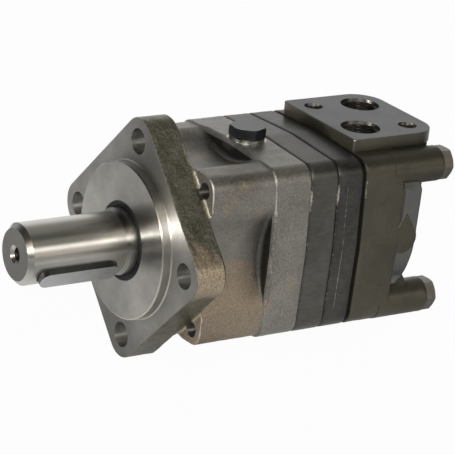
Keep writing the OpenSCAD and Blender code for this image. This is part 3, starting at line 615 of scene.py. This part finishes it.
def housing_rings():
    """The housing's rings: the recess, out over the flange, back along the columns, in through the bores.

    Behind the flange the outline goes inwards at the lobes and outwards at the columns, so the corners there
    turn with the sign of step.
    """
    flange = lobed(TURN, FLANGE_CORE_R, FLANGE_HOLE_CIRCLE_R, FLANGE_LOBE_R, 0.0)
    rim = flange - RIM_INSET
    body = body_radius(TURN)
    c = Profile(TURN)
    c.to(-PILOT_H + 0.3, RECESS_R, PILOT, 0.3)
    c.to(-PILOT_H, RECESS_R + 0.3, PILOT)
    c.to(-PILOT_H, RECESS_R + 0.8, PILOT)
    c.to(-PILOT_H, PILOT_R - 1.2, PILOT)
    # The pilot's edges show wear all round, with a painted highlight added on the side towards +X
    pilot_wear_and_highlight = 0.3 + 0.55 * smooth(np.cos(TURN + 0.4), 0.0, 0.6)
    c.to(-PILOT_H, PILOT_R - 0.5, PILOT, pilot_wear_and_highlight)
    c.to(-PILOT_H + 0.5, PILOT_R, BORED, pilot_wear_and_highlight)
    c.to(-PILOT_H + 1.0, PILOT_R, BORED)
    c.to(-0.9, PILOT_R, BORED)
    c.to(-0.55, PILOT_R, BORED, pilot_wear_and_highlight)
    c.to(0.0, PILOT_R + 0.55, FACED, pilot_wear_and_highlight)
    c.to(0.0, PILOT_R + 0.9, FACED)
    c.to(0.0, flange - 1.2, FACED)
    c.to(0.0, flange - 0.35, CAST, 0.25)
    c.to(0.4, rim, RIM, 0.3, 0.3)
    c.to(1.1, rim, RIM, 0.0, 1.1)
    for y in np.linspace(2.0, FLANGE_T - 3.0, 14):
        c.to(y, rim, RIM, 0.12, 1.1)
    # The rear edge, bright where flash was ground off, the back, and the fillet up to the waist. Each ring
    # lies a little behind the one before, so that no two fall together
    waist = waist_radius(TURN)
    step = flange - waist
    flash = 0.66 * np.maximum(smooth(-step, -4.5, -1.0), 1.2 * AT_FLASH)
    c.to(FLANGE_T - 2.6, rim, RIM, 0.1, 1.1)
    c.to(FLANGE_T - 1.7, rim, RIM, 0.9 * flash, 1.1)
    edge = np.clip(step / 2, -0.8, 2.0)
    back = 0.012
    for k, a in enumerate(np.linspace(0, math.pi / 2, 6)):
        c.to(FLANGE_T - np.abs(edge) * (1 - math.sin(a)) - 0.1 + back * k, rim - edge * (1 - math.cos(a)),
             CAST, flash, 0.9)
    root = np.clip(step / 2, -0.9, 5.0)
    wall = FLANGE_T + back * 6
    c.to(wall, flange - edge - 0.4 * (step - edge - root), CAST, 0.0, 0.6)
    for k, a in enumerate(np.linspace(0, math.pi / 2, 7)):
        c.to(wall + back * k + np.abs(root) * (1 - math.cos(a)), waist + root * (1 - math.sin(a)), CAST,
             0.75 * smooth(-step, 1.0, 3.0) * math.sin(2 * a), 0.8)
    # The waist, darkened with painted shade where it is deep towards the rear flange, the fillet in the same
    # painted shade, and the rounded lip of the rear flange, whose edge shows wear and a painted highlight
    rise = body - waist
    deep = smooth(rise, 2.0, 6.0)
    for y in np.linspace(25, REAR_FLANGE_Y - 4.6, 13):
        c.to(y, waist, CAST, -0.6 * deep * smooth(y, 38.0, 54.0), 1.2)
    fillet, lip = np.minimum(rise / 2, 2.6), np.minimum(rise / 2, 2.3)
    for a in np.linspace(0, math.pi / 2, 6):
        c.to(REAR_FLANGE_Y - fillet * (1 - math.sin(a)), waist + fillet * (1 - math.cos(a)), CAST,
             (-0.6 - 0.35 * (1 - math.cos(a))) * deep, 0.8)
    c.to(REAR_FLANGE_Y + 0.01, body - lip - 0.15, CAST, -0.9 * deep, 0.4)
    for u in np.linspace(0, 1, 6):
        c.to(REAR_FLANGE_Y + 0.02 + lip * (1.1 * u * (1 - u) + u * u),
             body - lip * ((1 - u)**2 + 0.4 * u * (1 - u)), CAST,
             (0.45 * WEAR_AND_HIGHLIGHT_AT_SIDE + 0.4 * WEAR_AND_HIGHLIGHT_AT_CORNER) * 2 * (u * (1 - u))**0.5, 0.5)
    # The rear flange, with a bead along the middle of its sides; the bead and the rear edge show wear and a
    # painted highlight along the sides
    middle = (REAR_FLANGE_Y + RING_Y) / 2 + 0.6
    for y in (60.5, 63.0, middle - 1.0):
        c.to(y, body, CAST, 0.0, 0.9)
    c.to(middle - 0.35, body, CAST, 0.1 * WEAR_AND_HIGHLIGHT_AT_SIDE, 0.6)
    c.to(middle, body + BEAD_H * WEAR_AND_HIGHLIGHT_AT_SIDE, CAST, BEAD_WEAR_AND_HIGHLIGHT * WEAR_AND_HIGHLIGHT_AT_SIDE, 0.6)
    c.to(middle + 0.35, body, CAST, 0.1 * WEAR_AND_HIGHLIGHT_AT_SIDE, 0.6)
    for y in (middle + 1.0, 71.0, 74.5):
        c.to(y, body, CAST, 0.0, 0.9)
    c.to(RING_Y - 0.8, body, CAST, 0.0, 0.5)
    c.to(RING_Y - 0.25, body - 0.2, CAST, 0.15 * WEAR_AND_HIGHLIGHT_AT_SIDE, 0.3)
    c.to(RING_Y, body - 0.7, CAST, 0.0)
    c.to(RING_Y, body - 1.4, BORED)
    inner, outer, depth = SEAL_GROOVE
    for y, r in ((RING_Y, outer), (RING_Y - depth, outer), (RING_Y - depth, inner), (RING_Y, inner),
                 (RING_Y, WEAR_BORE_R + 0.4), (RING_Y - 0.4, WEAR_BORE_R), (WEAR_Y, WEAR_BORE_R),
                 (WEAR_Y, BEARING_BORE_R), (BEARING_Y, BEARING_BORE_R), (BEARING_Y, SEAL_BORE_R),
                 (SEAL_Y, SEAL_BORE_R), (SEAL_Y, RECESS_R)):
        c.to(y, r, BORED)
    return c


def housing():
    """The front housing's casting, with its flange holes, tapped holes and drain hole cut through."""
    c = housing_rings()
    piece = solid("front_housing_casting", c.points(3), c.zone, c.worn)
    r, end = FLANGE_HOLE_R, FLANGE_T + 6
    cuts = [turned("hole", [(r, -1), (r, 3), (r, 10), (r, end)],
                   centre=(FLANGE_HOLE_CIRCLE_R * math.cos(a), 0, FLANGE_HOLE_CIRCLE_R * math.sin(a)))
            for a in np.arange(4) * math.pi / 2]
    tap = [(TAPPED_R, FLANGE_T - TAP_NICK), (TAPPED_R, BOLT_THREAD_Y), (THREAD_HOLE_R, BOLT_THREAD_Y),
           (THREAD_HOLE_R, RING_Y + 1)]
    cuts += [turned("tap", tap, centre=(x, 0, z)) for x, z in BOLTS]
    seat, foot = PLUG_FLATS / 2 + 2, DRAIN_SEAT_Z - DRAIN_DEPTH
    drain = [(DRILLING_R, DRILLING_END_Z), (DRILLING_R, foot), (DRAIN_R, foot), (DRAIN_R, DRAIN_SEAT_Z),
             (seat, DRAIN_SEAT_Z), (seat, DRAIN_SEAT_Z + 6)]
    cuts.append(turned("drain", drain, axis="z", centre=(0, DRAIN_Y, 0)))
    give(piece, faced, sand_cast, bored, rim_cast, faced_pilot)
    cutter = join("housing_holes", cuts)
    give(cutter, bored)
    carve(piece, cutter, "DIFFERENCE")
    dress(piece, "housing", "front_housing", 25)


def section(name, front, back, inner, outside, holes, front_r, back_r, beads, seed):
    """A flat section of the body, with a bore of radius inner and holes given as (x, z, radius).

    outside is the material of its rim, which has rounded edges and a bead from the mould at each y in beads.
    Edges and beads show wear and a painted highlight by the upper corners and along the sides.
    """
    outer = body_radius(TURN)
    c = Profile(TURN)
    c.to(front, outer - front_r - 0.6, BORED)
    for a in np.linspace(0, math.pi / 2, 7):
        c.to(front + front_r * (1 - math.cos(a)), outer - front_r * (1 - math.sin(a)), CAST,
             (0.4 * WEAR_AND_HIGHLIGHT_AT_SIDE + 0.35 * WEAR_AND_HIGHLIGHT_AT_CORNER) * math.sin(2 * a), 0.3)
    levels = [(y, 0) for y in np.linspace(front + front_r + 0.6, back - back_r - 0.6, 9)
              if all(abs(y - b) > 0.7 for b in beads)]
    levels += [(b + e, high) for b in beads for e, high in ((0, 1), (-0.4, 0), (0.4, 0))]
    for y, high in sorted(levels):
        c.to(y, outer + BEAD_H * high * WEAR_AND_HIGHLIGHT_AT_SIDE, CAST, BEAD_WEAR_AND_HIGHLIGHT * high * WEAR_AND_HIGHLIGHT_AT_SIDE, 0.3)
    for a in np.linspace(math.pi / 2, 0, 7):
        c.to(back - back_r * (1 - math.cos(a)), outer - back_r * (1 - math.sin(a)), CAST,
             (0.3 * WEAR_AND_HIGHLIGHT_AT_SIDE + 0.4 * WEAR_AND_HIGHLIGHT_AT_CORNER) * math.sin(2 * a), 0.3)
    c.to(back, outer - back_r - 0.6, BORED)
    for y, r in ((back, inner + 0.3), (back - 0.3, inner), (front + 0.3, inner), (front, inner + 0.3)):
        c.to(y, r, BORED)
    piece = solid(name, c.points(seed), c.zone, c.worn)
    give(piece, bored, outside, bored)
    cuts = [turned("hole", [(r, front - 1), (r, back + 1)], centre=(x, 0, z)) for x, z, r in holes]
    cutter = join(name + "_holes", cuts)
    give(cutter, bored)
    carve(piece, cutter, "DIFFERENCE")
    dress(piece, "housing", name)


def pocket_radius(theta):
    """The gear ring's bore with its seven half-round pockets, the first one at the top."""
    step = 2 * math.pi / 7
    a = np.abs((theta - math.pi / 2 + step / 2) % step - step / 2)
    wall = np.sqrt(np.maximum(ROLLER_POCKET_R**2 - (ROLLER_CIRCLE_R * np.sin(a))**2, 0))
    return np.where(a < POCKET_HALF_ANGLE, ROLLER_CIRCLE_R * np.cos(a) + wall, RING_BORE_R)


def rounded_plan(low, high, radii, inset=0.0, steps=12):
    """Corner points of a rectangle with rounded corners, as (a, b) pairs going round it.

    radii are those at (low, low), (high, low), (high, high) and (low, high). inset shrinks it on all sides.
    """
    q = np.linspace(0, math.pi / 2, steps)
    corners = []
    for k, (a, b) in enumerate(((low[0], low[1]), (high[0], low[1]), (high[0], high[1]), (low[0], high[1]))):
        r = radii[k]
        way = q + math.pi + k * math.pi / 2
        ca = a + r if a == low[0] else a - r
        cb = b + r if b == low[1] else b - r
        corners.append(np.stack([ca + (r - inset) * np.cos(way), cb + (r - inset) * np.sin(way)], -1))
    return np.concatenate(corners)


def prism(name, plan, levels, zones, axis="z", worn=0.0):
    """A closed solid from a plan that shrinks by an inset at each level: levels are (height, inset)."""
    rows = []
    for h, inset in levels:
        ab = plan(inset)
        a, b, c = ab[:, 0], ab[:, 1], np.full(len(ab), h)
        rows.append(np.stack({"x": (c, a, b), "y": (a, c, b), "z": (a, b, c)}[axis], -1))
    return solid(name, np.stack(rows), zones, np.reshape(worn, (-1, 1)), loop=False)


def side_boss_plan(inset):
    """Outline of a side boss: a circle drawn out to a peak above, as (y, z) pairs."""
    r, peak = SIDE_BOSS_R - inset, SIDE_BOSS_PEAK - 1.35 * inset
    spread = math.acos(r / peak)
    q = np.linspace(math.pi / 2 + spread, 2.5 * math.pi - spread, 56)
    round_part = np.stack([r * np.cos(q), r * np.sin(q)], -1)
    tip = np.array([[0.5, peak - 0.45], [0, peak], [-0.5, peak - 0.45]])
    return np.concatenate([round_part, tip]) + np.array([SIDE_BOSS_Y, 0])


def block_plan(inset):
    """Outline of the block under the rear of the pad, as (x, y) pairs."""
    return rounded_plan((-BLOCK_HALF_W, COVER_END - 1), (BLOCK_HALF_W, BLOCK_END), (0.5, 0.5, 4, 4), inset)


def pad_plan(inset):
    """Outline of the port pad, as (x, y) pairs."""
    radii = (2.5, 2.5, PAD_CORNER_R, PAD_CORNER_R)
    return rounded_plan((-PAD_HALF_W, PAD_FRONT), (PAD_HALF_W, PAD_REAR), radii, inset, 24)


def upright(name, rows, t, centre):
    """A closed solid about an upright axis through centre, from rows of (z, radius at the angles t)."""
    x, y = centre
    rings = [np.stack([r * np.cos(t) + x, r * np.sin(t) + y, np.full_like(t, z)], -1) for z, r in rows]
    return solid(name, np.stack(rings), [0] * len(rows), loop=False)


def threaded(name, centre, core, crest, mouth, pitch, depth, around):
    """A cutter for a tapped hole from the pad's top down.

    Its radius is core + (crest - core) tri(z / pitch - turn), a triangle wave that fades in at the bottom.
    """
    t = np.arange(around) * 2 * math.pi / around
    z = np.arange(0, depth - pitch, pitch / 8)[:, None]
    run = z / pitch - t / (2 * math.pi)
    r = core + (crest - core) * (1 - np.abs(2 * (run % 1) - 1))
    r = core + (r - core) * np.clip((z - 0.4 * pitch) / pitch, 0, 1)
    foot = PAD_TOP - depth
    rows = [(foot, core), *zip(foot + z[:, 0] + 0.2, r), (PAD_TOP, mouth), (PAD_TOP + 2, mouth + 0.3)]
    return upright(name, rows, t, centre)


def boss(x, z):
    """A bolt boss of radius BOSS_R, with a fillet where its inner side leaves the hub's end."""
    turn = np.arange(120) * 2 * math.pi / 120
    share = smooth(np.cos(turn - math.atan2(-z, -x)), 0.15, 0.8)
    rings = [(COVER_END - 6, 0.0), (COVER_END + 6, 0.0), (HUB_END - 0.6, 4.0)]
    rings += [(HUB_END + 4 * (1 - math.sin(a)), 4 * (1 - math.cos(a)))
              for a in np.linspace(math.pi / 2, 0, 8)]
    rings += [(BOSS_END - 3, 0.0), (BOSS_END - 0.8, 0.0), (BOSS_END - 0.2, -0.3), (BOSS_END, -0.9)]
    rows = []
    for y, more in rings:
        r = BOSS_R + more * (share if more > 0 else 1)
        rows.append(np.stack([x + r * np.cos(turn), np.full_like(turn, y), z + r * np.sin(turn)], -1))
    return solid("boss", np.stack(rows), [CAST] * len(rows), loop=False)


def hub_radius():
    """Outline of the hub with the webs to the bolt bosses.

    A fillet of radius f touches the hub and the boss. At the angle b from its middle its radius is
    (HUB_R + f) cos b - sqrt(f^2 - ((HUB_R + f) sin b)^2).
    """
    a45 = np.abs(TURN % (math.pi / 2) - math.pi / 4)
    fillet = 4.0
    reach = HUB_R + fillet
    far = math.acos((reach**2 + BOLT_REACH**2 - (BOSS_R + fillet)**2) / (2 * reach * BOLT_REACH))
    off = a45 - far
    hollow = reach * np.cos(off) - np.sqrt(np.maximum(fillet**2 - (reach * np.sin(off))**2, 0))
    near = np.where(a45 < far, np.where(a45 < UNDER_BOSS_ANGLE, UNDER_BOSS_R, hollow), HUB_R)
    straight = lobed(TURN, HUB_R, BOLT_REACH, BOSS_R, math.pi / 4)
    beside = (np.sin(TURN) > 0) & (np.abs(np.cos(TURN)) > np.abs(np.sin(TURN)))
    return np.where(beside, np.minimum(straight, BESIDE_BLOCK_R), near)


def valve_housing():
    """The end cover, cast in one with hub, bosses and port pad, with its cavity and ports cut."""
    body = body_radius(TURN)
    hub = hub_radius()
    rim_y = COVER_Y + GROOVE_W
    c = Profile(TURN)
    c.to(COVER_Y, body - GROOVE_DEPTH - 0.6, BORED)
    c.to(COVER_Y, body - GROOVE_DEPTH - 0.2, CAST)
    c.to(COVER_Y + 0.2, body - GROOVE_DEPTH, CAST)
    c.to(rim_y, body - GROOVE_DEPTH, CAST)
    c.to(rim_y + 0.02, body - 1.0, CAST)
    # The front edge shows wear and a painted highlight by the upper corners
    c.to(rim_y + 0.3, body - 0.3, CAST, 0.5 * WEAR_AND_HIGHLIGHT_AT_CORNER, 0.4)
    c.to(rim_y + 0.9, body, CAST, 0.5 * WEAR_AND_HIGHLIGHT_AT_CORNER, 0.4)
    for y in np.linspace(rim_y + 2.4, COVER_END - 3.2, 10):
        c.to(y, body, CAST, 0.0, 0.8)
    edge = (body - hub) / 2
    lip, root = np.clip(edge, 0.05, 1.4), np.clip(edge, 0.05, 1.2)
    for k, a in enumerate(np.linspace(0, math.pi / 2, 5)):
        c.to(COVER_END - lip * (1 - math.sin(a)) + 0.01 * k, body - lip * (1 - math.cos(a)), CAST, 0.0, 0.8)
    for k, a in enumerate(np.linspace(0, math.pi / 2, 5)):
        c.to(COVER_END + 0.06 + 0.01 * k + root * (1 - math.cos(a)), hub + root * (1 - math.sin(a)),
             CAST, 0.0, 0.8)
    # The hub, in the paler finish that holds its painted reflection
    for y in np.linspace(COVER_END + 2.4, HUB_END - 3.4, 5):
        c.to(y, hub, HUB, 0.0, 0.8)
    for a in np.linspace(0, math.pi / 2, 6):
        c.to(HUB_END - 1.2 * (1 - math.sin(a)), hub - 1.2 * (1 - math.cos(a)), CAST, 0.0, 0.6)
    c.to(HUB_END, hub - 8, CAST, 0.0, 0.3)
    piece = solid("valve_housing_casting", c.points(20), c.zone, c.worn, loop=False)
    finishes = (milled, dark_cast, dark_bore, hub_cast_painted_reflection)
    give(piece, *finishes)

    bosses = [boss(x, z) for x, z in BOLTS]
    levels = [(BLOCK_BOTTOM, 1.5), (BLOCK_BOTTOM + 0.5, 0.5), (BLOCK_BOTTOM + 1.5, 0), (34, 0),
              (PAD_BOTTOM + 1, 0)]
    block = prism("block", block_plan, levels, [CAST] * 5)
    levels = np.array([(36, -1.0), (HUB_R, -1.0), (HUB_R + 0.1, -0.7), (SIDE_BOSS_REACH - 0.35, 0.1),
                       (SIDE_BOSS_REACH - 0.1, 0.4), (SIDE_BOSS_REACH, 0.9)])
    sides = [prism("side", side_boss_plan, levels * (s, 1), [CAST] * 6, axis="x") for s in (-1, 1)]
    levels = [(PAD_BOTTOM, 1.6), (PAD_BOTTOM + 0.5, 0.5), (PAD_BOTTOM + 1.6, 0), (PAD_TOP - 1.5, 0),
              (PAD_TOP - 0.4, 0), (PAD_TOP - 0.1, 0.15), (PAD_TOP, 0.5), (PAD_TOP, 1.2)]
    pad = prism("pad", pad_plan, levels, [CAST] * 5 + [FACED] * 3, worn=[0, 0, 0, 0, 0.3, 0.5, 0.3, 0])
    for one in (*bosses, block, *sides, pad):
        give(one, *finishes)
        carve(piece, one, "UNION")

    cuts = [turned("bolt_hole", [(BOLT_HOLE_R, COVER_Y - 1), (BOLT_HOLE_R, BOSS_END + 1)], centre=(x, 0, z))
            for x, z in BOLTS]
    cuts = [join("cavity", cuts + [turned("cavity", CAVITY, around=180)])]
    cuts += [threaded("port", at, PORT_CORE_R, PORT_THREAD_R, PORT_MOUTH_R, PORT_PITCH, PORT_DEPTH, 96)
             for at in PORTS]
    cuts += [threaded("stud", at, STUD_R, STUD_THREAD_R, STUD_MOUTH_R, STUD_PITCH, STUD_DEPTH, 64)
             for at in STUDS]
    for one in cuts:
        give(one, dark_bore)
        carve(piece, one, "DIFFERENCE")
    dress(piece, "housing", "valve_housing")


def drain_plug():
    """The hexagon plug: low flats, a domed top that cuts the corners off in arcs, and a plain stem below."""
    t = np.arange(240) * 2 * math.pi / 240
    half = PLUG_FLATS / 2
    base = DRAIN_SEAT_Z + WASHER_T
    flats = half / np.cos((t - math.radians(PLUG_TURN)) % (math.pi / 3) - math.pi / 6)
    rows = [(DRAIN_SEAT_Z - 10, DRAIN_R - 0.4), (DRAIN_SEAT_Z - 9.4, DRAIN_R - 0.02), (base, DRAIN_R - 0.02),
            (base, np.minimum(flats, half + 0.2))]
    # The dome is an ellipse that starts this far up the head
    start = PLUG_HEAD_H * 0.35
    for z in np.linspace(0.25, PLUG_HEAD_H, 26):
        dome = NOWHERE_R
        if z > start:
            dome = half + 0.3 + 1.45 * math.sqrt(max(0.0, 1 - ((z - start) / (PLUG_HEAD_H * 0.655))**2))
        rows.append((base + z, np.minimum(np.minimum(flats, half + 0.2 + 3.2 * z), dome)))
    rows += [(base + PLUG_HEAD_H, half - 0.6), (base + PLUG_HEAD_H, half - 2)]
    piece = upright("drain_plug_hexagon", rows, t, (0, DRAIN_Y))
    give(piece, black_steel)
    dress(piece, "housing", "drain_plug", 25)


def drawn_key():
    """The shaft's key: the CAD's mesh with its sharp edges broken, and with painted shade on its flanks and
    ends.
    """
    mesh = nodes["shaft_key"].data.copy()
    mesh.materials.clear()
    tool = bmesh.new()
    tool.from_mesh(mesh)
    bmesh.ops.remove_doubles(tool, verts=tool.verts, dist=1e-6)
    tool.to_mesh(mesh)
    tool.free()
    sides = np.zeros(3 * len(mesh.polygons))
    mesh.polygons.foreach_get("normal", sides)
    corners = np.zeros(len(mesh.polygons), np.int32)
    mesh.polygons.foreach_get("loop_total", corners)
    centre = sum(np.array(v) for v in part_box("shaft_key")) / 2
    out = np.array([centre[0], 0, centre[2]]) / math.hypot(centre[0], centre[2])
    # Faces that don't face outwards, the key's sides and ends, get painted shade
    shaded_sides = (np.abs(sides.reshape(-1, 3) @ out) < 0.4).astype(np.float32)
    mesh.attributes.new("worn", "FLOAT", "CORNER").data.foreach_set("value", -np.repeat(shaded_sides, corners))
    piece = placed("drawn_key", mesh)
    give(piece, drawn_steel)
    bevel = piece.modifiers.new("broken_edges", "BEVEL")
    bevel.width, bevel.segments, bevel.limit_method = KEY_EDGE * MM, 3, "ANGLE"
    bevel.angle_limit = math.radians(35)
    dress(piece, "shaft", "shaft_key")


housing()
holes = [(x, z, BOLT_HOLE_R) for x, z in BOLTS]
channels = [(CHANNEL_CIRCLE_R * math.cos(a), CHANNEL_CIRCLE_R * math.sin(a), CHANNEL_R)
            for a in math.pi / 2 - (np.arange(7) + 0.5) * 2 * math.pi / 7]
section("gear_ring", RING_Y, PLATE_Y, pocket_radius(TURN), section_iron, holes, 2.0, 1.2, (), 11)
section("channel_plate", PLATE_Y, COVER_Y, PLATE_BORE_R, plate_iron, holes + channels, 1.8, 0.4, (100.0,), 14)
valve_housing()
drain_plug()
drawn_key()

# Finishes of the nodes that keep the CAD's mesh
FINISHES = (
    (ground_steel, ["output_shaft"]),
    (seal_rubber, ["dust_seal", "shaft_seal", "housing_seal", "ring_seal", "cover_seal"]),
    (bearing_steel, ["front_bearing_cup", "front_bearing_cone", "front_bearing_rollers", "rear_bearing_cup",
                     "rear_bearing_cone", "rear_bearing_rollers", *(f"roller_{k}" for k in range(1, 8))]),
    (pressed_steel, ["front_bearing_cage", "rear_bearing_cage", "balance_springs"]),
    (gear_steel, ["wear_plate", "star_rotor", "main_drive_link", "drive_spacer", "valve_drive_link"]),
    (valve_bronze, ["disc_valve", "balance_ring"]),
    (bolt_steel, ["cover_bolts"]),
    (washer_steel, ["drain_washer"]),
)
for finish, names in FINISHES:
    for name in names:
        nodes[name].data.materials.clear()
        give(nodes[name], finish)

# Camera of the photograph: its axes, the point it turns about, its offset from there and its distance
RIGHT = Vector((0.5374, 0.8377, 0.0971))
BACK = Vector((0.7696, -0.5343, 0.3497)).normalized()
PIVOT = Vector((0, 60, 0))
ASIDE, BELOW = 0.01, 0.77
DISTANCE = 1300.7
LENS = 195.6
camera = placed("camera", bpy.data.cameras.new("camera"))
RIGHT = (RIGHT - BACK * RIGHT.dot(BACK)).normalized()
UP = BACK.cross(RIGHT)
camera.matrix_world = Matrix((RIGHT, UP, BACK)).transposed().to_4x4()
camera.location = (PIVOT - RIGHT * ASIDE - UP * BELOW + BACK * DISTANCE) * MM
camera.data.lens, camera.data.sensor_width = LENS, 36
camera.data.clip_start, camera.data.clip_end = 0.01, 50
scene.camera = camera
scene.view_settings.view_transform = "Standard"

# Soft lights far off: the way there, how closely each is gathered about it, and its strength
SOFT_LIGHTS = (
    # White sweep behind the motor, on its far side
    ((-0.80, 0.56, 0.20), 14, (0.66, 0.67, 0.67)),
    ((-0.93, 0.04, 0.38), 14, (0.58, 0.62, 0.65)),
    ((-0.69, 0.29, 0.66), 14, (0.31, 0.30, 0.29)),
    ((-0.17, 0.62, 0.77), 14, (0.33, 0.33, 0.31)),
    # Fill from the front and from the camera's side
    ((-0.34, -0.94, -0.02), 14, (0.92, 0.89, 0.80)),
    ((0.96, 0.13, 0.23), 14, (0.56, 0.57, 0.56)),
    # Narrow lamps in a row along the shaft, at the camera's side
    ((0.76, -0.50, 0.42), 110, (10.0, 10.8, 11.3)),
    ((0.79, 0.42, 0.44), 110, (3.6, 3.5, 3.3)),
    ((0.62, -0.70, 0.35), 110, (4.2, 3.9, 3.4)),
    ((0.15, -0.98, 0.08), 110, (1.3, 1.05, 0.8)),
    ((0.03, -0.99, 0.09), 2600, (620, 615, 595)),
    ((0.84, 0.53, 0.12), 50, (0.80, 0.68, 0.60)),
    # Lamps higher up
    ((0.62, 0.0, 0.79), 50, (2.75, 2.66, 2.3)),
    ((0.32, -0.85, 0.42), 50, (1.55, 1.3, 1.1)),
)
# The way to the middle of the white sweep, which reflections show as plain background
SWEEP = (-0.80, 0.56, 0.22)
# Light from the white floor: the place on it, how far it spreads, and how bright it is there
FLOOR_LIGHTS = (
    ((-260, 60), 100, 4.2), ((0, -80), 60, 0.82), ((110, 130), 60, 0.64), ((0, 60), 60, 0.51),
    ((260, 180), 100, 0.52), ((260, -60), 100, 0.85), ((600, 600), 220, 2.2), ((-100, -700), 220, 3.3),
    ((-1300, 0), 400, 3.4), ((28, 20), 28, -0.5),
)


def behind_motor(tree, ray, place, low, high):
    """1 for reflections and light through glass where place, along SWEEP, is past high, and 0 before low."""
    shown = add(tree, "Math", ADD, _0=ray["Is Glossy Ray"], _1=ray["Is Transmission Ray"])
    behind = add(tree, "VectorMath", DOT, "Value", _0=place, _1=SWEEP)
    behind = add(tree, "MapRange", SMOOTHSTEP, Value=behind, From_Min=low, From_Max=high)
    return add(tree, "Math", MULTIPLY, _0=shown, _1=behind)


world = bpy.data.worlds.new("studio")
scene.world = world
world.use_nodes = True
tree = world.node_tree
tree.nodes.clear()
way = add(tree, "TexCoord", out="Generated")
tone = (0.01, 0.01, 0.01)
for there, gather, strength in SOFT_LIGHTS:
    near = add(tree, "VectorMath", DOT, "Value", _0=way, _1=Vector(there).normalized())
    near = add(tree, "Math", MULTIPLY_ADD, _0=near, _1=gather, _2=-gather)
    near = add(tree, "Math", {"operation": "EXPONENT"}, _0=near)
    tone = add(tree, "VectorMath", MULTIPLY_ADD, _0=near, _1=strength, _2=tone)
ray = add(tree, "LightPath").node.outputs
shown = behind_motor(tree, ray, way, 0.9, 0.99)
seen = add(tree, "Math", {"operation": "ADD", "use_clamp": True}, _0=ray["Is Camera Ray"], _1=shown)
plain = add(tree, "Background", Color=(1, 1, 1, 1), Strength=1.0)
lit = add(tree, "Background", Color=tone, Strength=1.0)
backdrop = add(tree, "MixShader", Fac=seen, _1=lit, _2=plain)
add(tree, "OutputWorld", Surface=backdrop)

# White floor under the lowest lobe, FLOOR_HALF metres each way. It takes a faint shadow, is otherwise white
# to the camera and, behind the motor, to reflections, and lights the motor from below
FLOOR_Z = -65.9
FLOOR_HALF = 3.0
floor_mesh = bpy.data.meshes.new("floor")
floor_mesh.from_pydata([(x * FLOOR_HALF, y * FLOOR_HALF, FLOOR_Z * MM)
                        for x, y in ((-1, -1), (1, -1), (1, 1), (-1, 1))], [], [(0, 1, 2, 3)])
floor = placed("floor", floor_mesh)
paper, tree = blank("white_paper")
white = add(tree, "Emission", Color=(1, 1, 1, 1), Strength=1.0)
place = add(tree, "TexCoord", out="Object")
level = 0.02
for (x, y), spread, strength in FLOOR_LIGHTS:
    far = add(tree, "VectorMath", {"operation": "DISTANCE"}, "Value", _0=place,
              _1=(x * MM, y * MM, FLOOR_Z * MM))
    far = add(tree, "Math", {"operation": "DIVIDE"}, _0=far, _1=spread * MM)
    far = add(tree, "Math", MULTIPLY, _0=far, _1=far)
    far = add(tree, "Math", MULTIPLY, _0=far, _1=-0.5)
    far = add(tree, "Math", {"operation": "EXPONENT"}, _0=far)
    level = add(tree, "Math", MULTIPLY_ADD, _0=far, _1=strength, _2=level)
level = add(tree, "Math", {"operation": "MAXIMUM"}, _0=level, _1=0.01)
glow = add(tree, "Emission", Color=(1, 1, 1, 1), Strength=level)
matt = add(tree, "BsdfDiffuse", Color=(0.9, 0.9, 0.9, 1))
ray = add(tree, "LightPath").node.outputs
room = add(tree, "MixShader", Fac=0.7, _1=matt, _2=glow)
to_room = add(tree, "MixShader", Fac=behind_motor(tree, ray, place, 0.12, 0.4), _1=room, _2=white)
to_lens = add(tree, "MixShader", Fac=0.97, _1=matt, _2=white)
surface = add(tree, "MixShader", Fac=ray["Is Camera Ray"], _1=to_room, _2=to_lens)
add(tree, "OutputMaterial", Surface=surface)
floor_mesh.materials.append(paper)
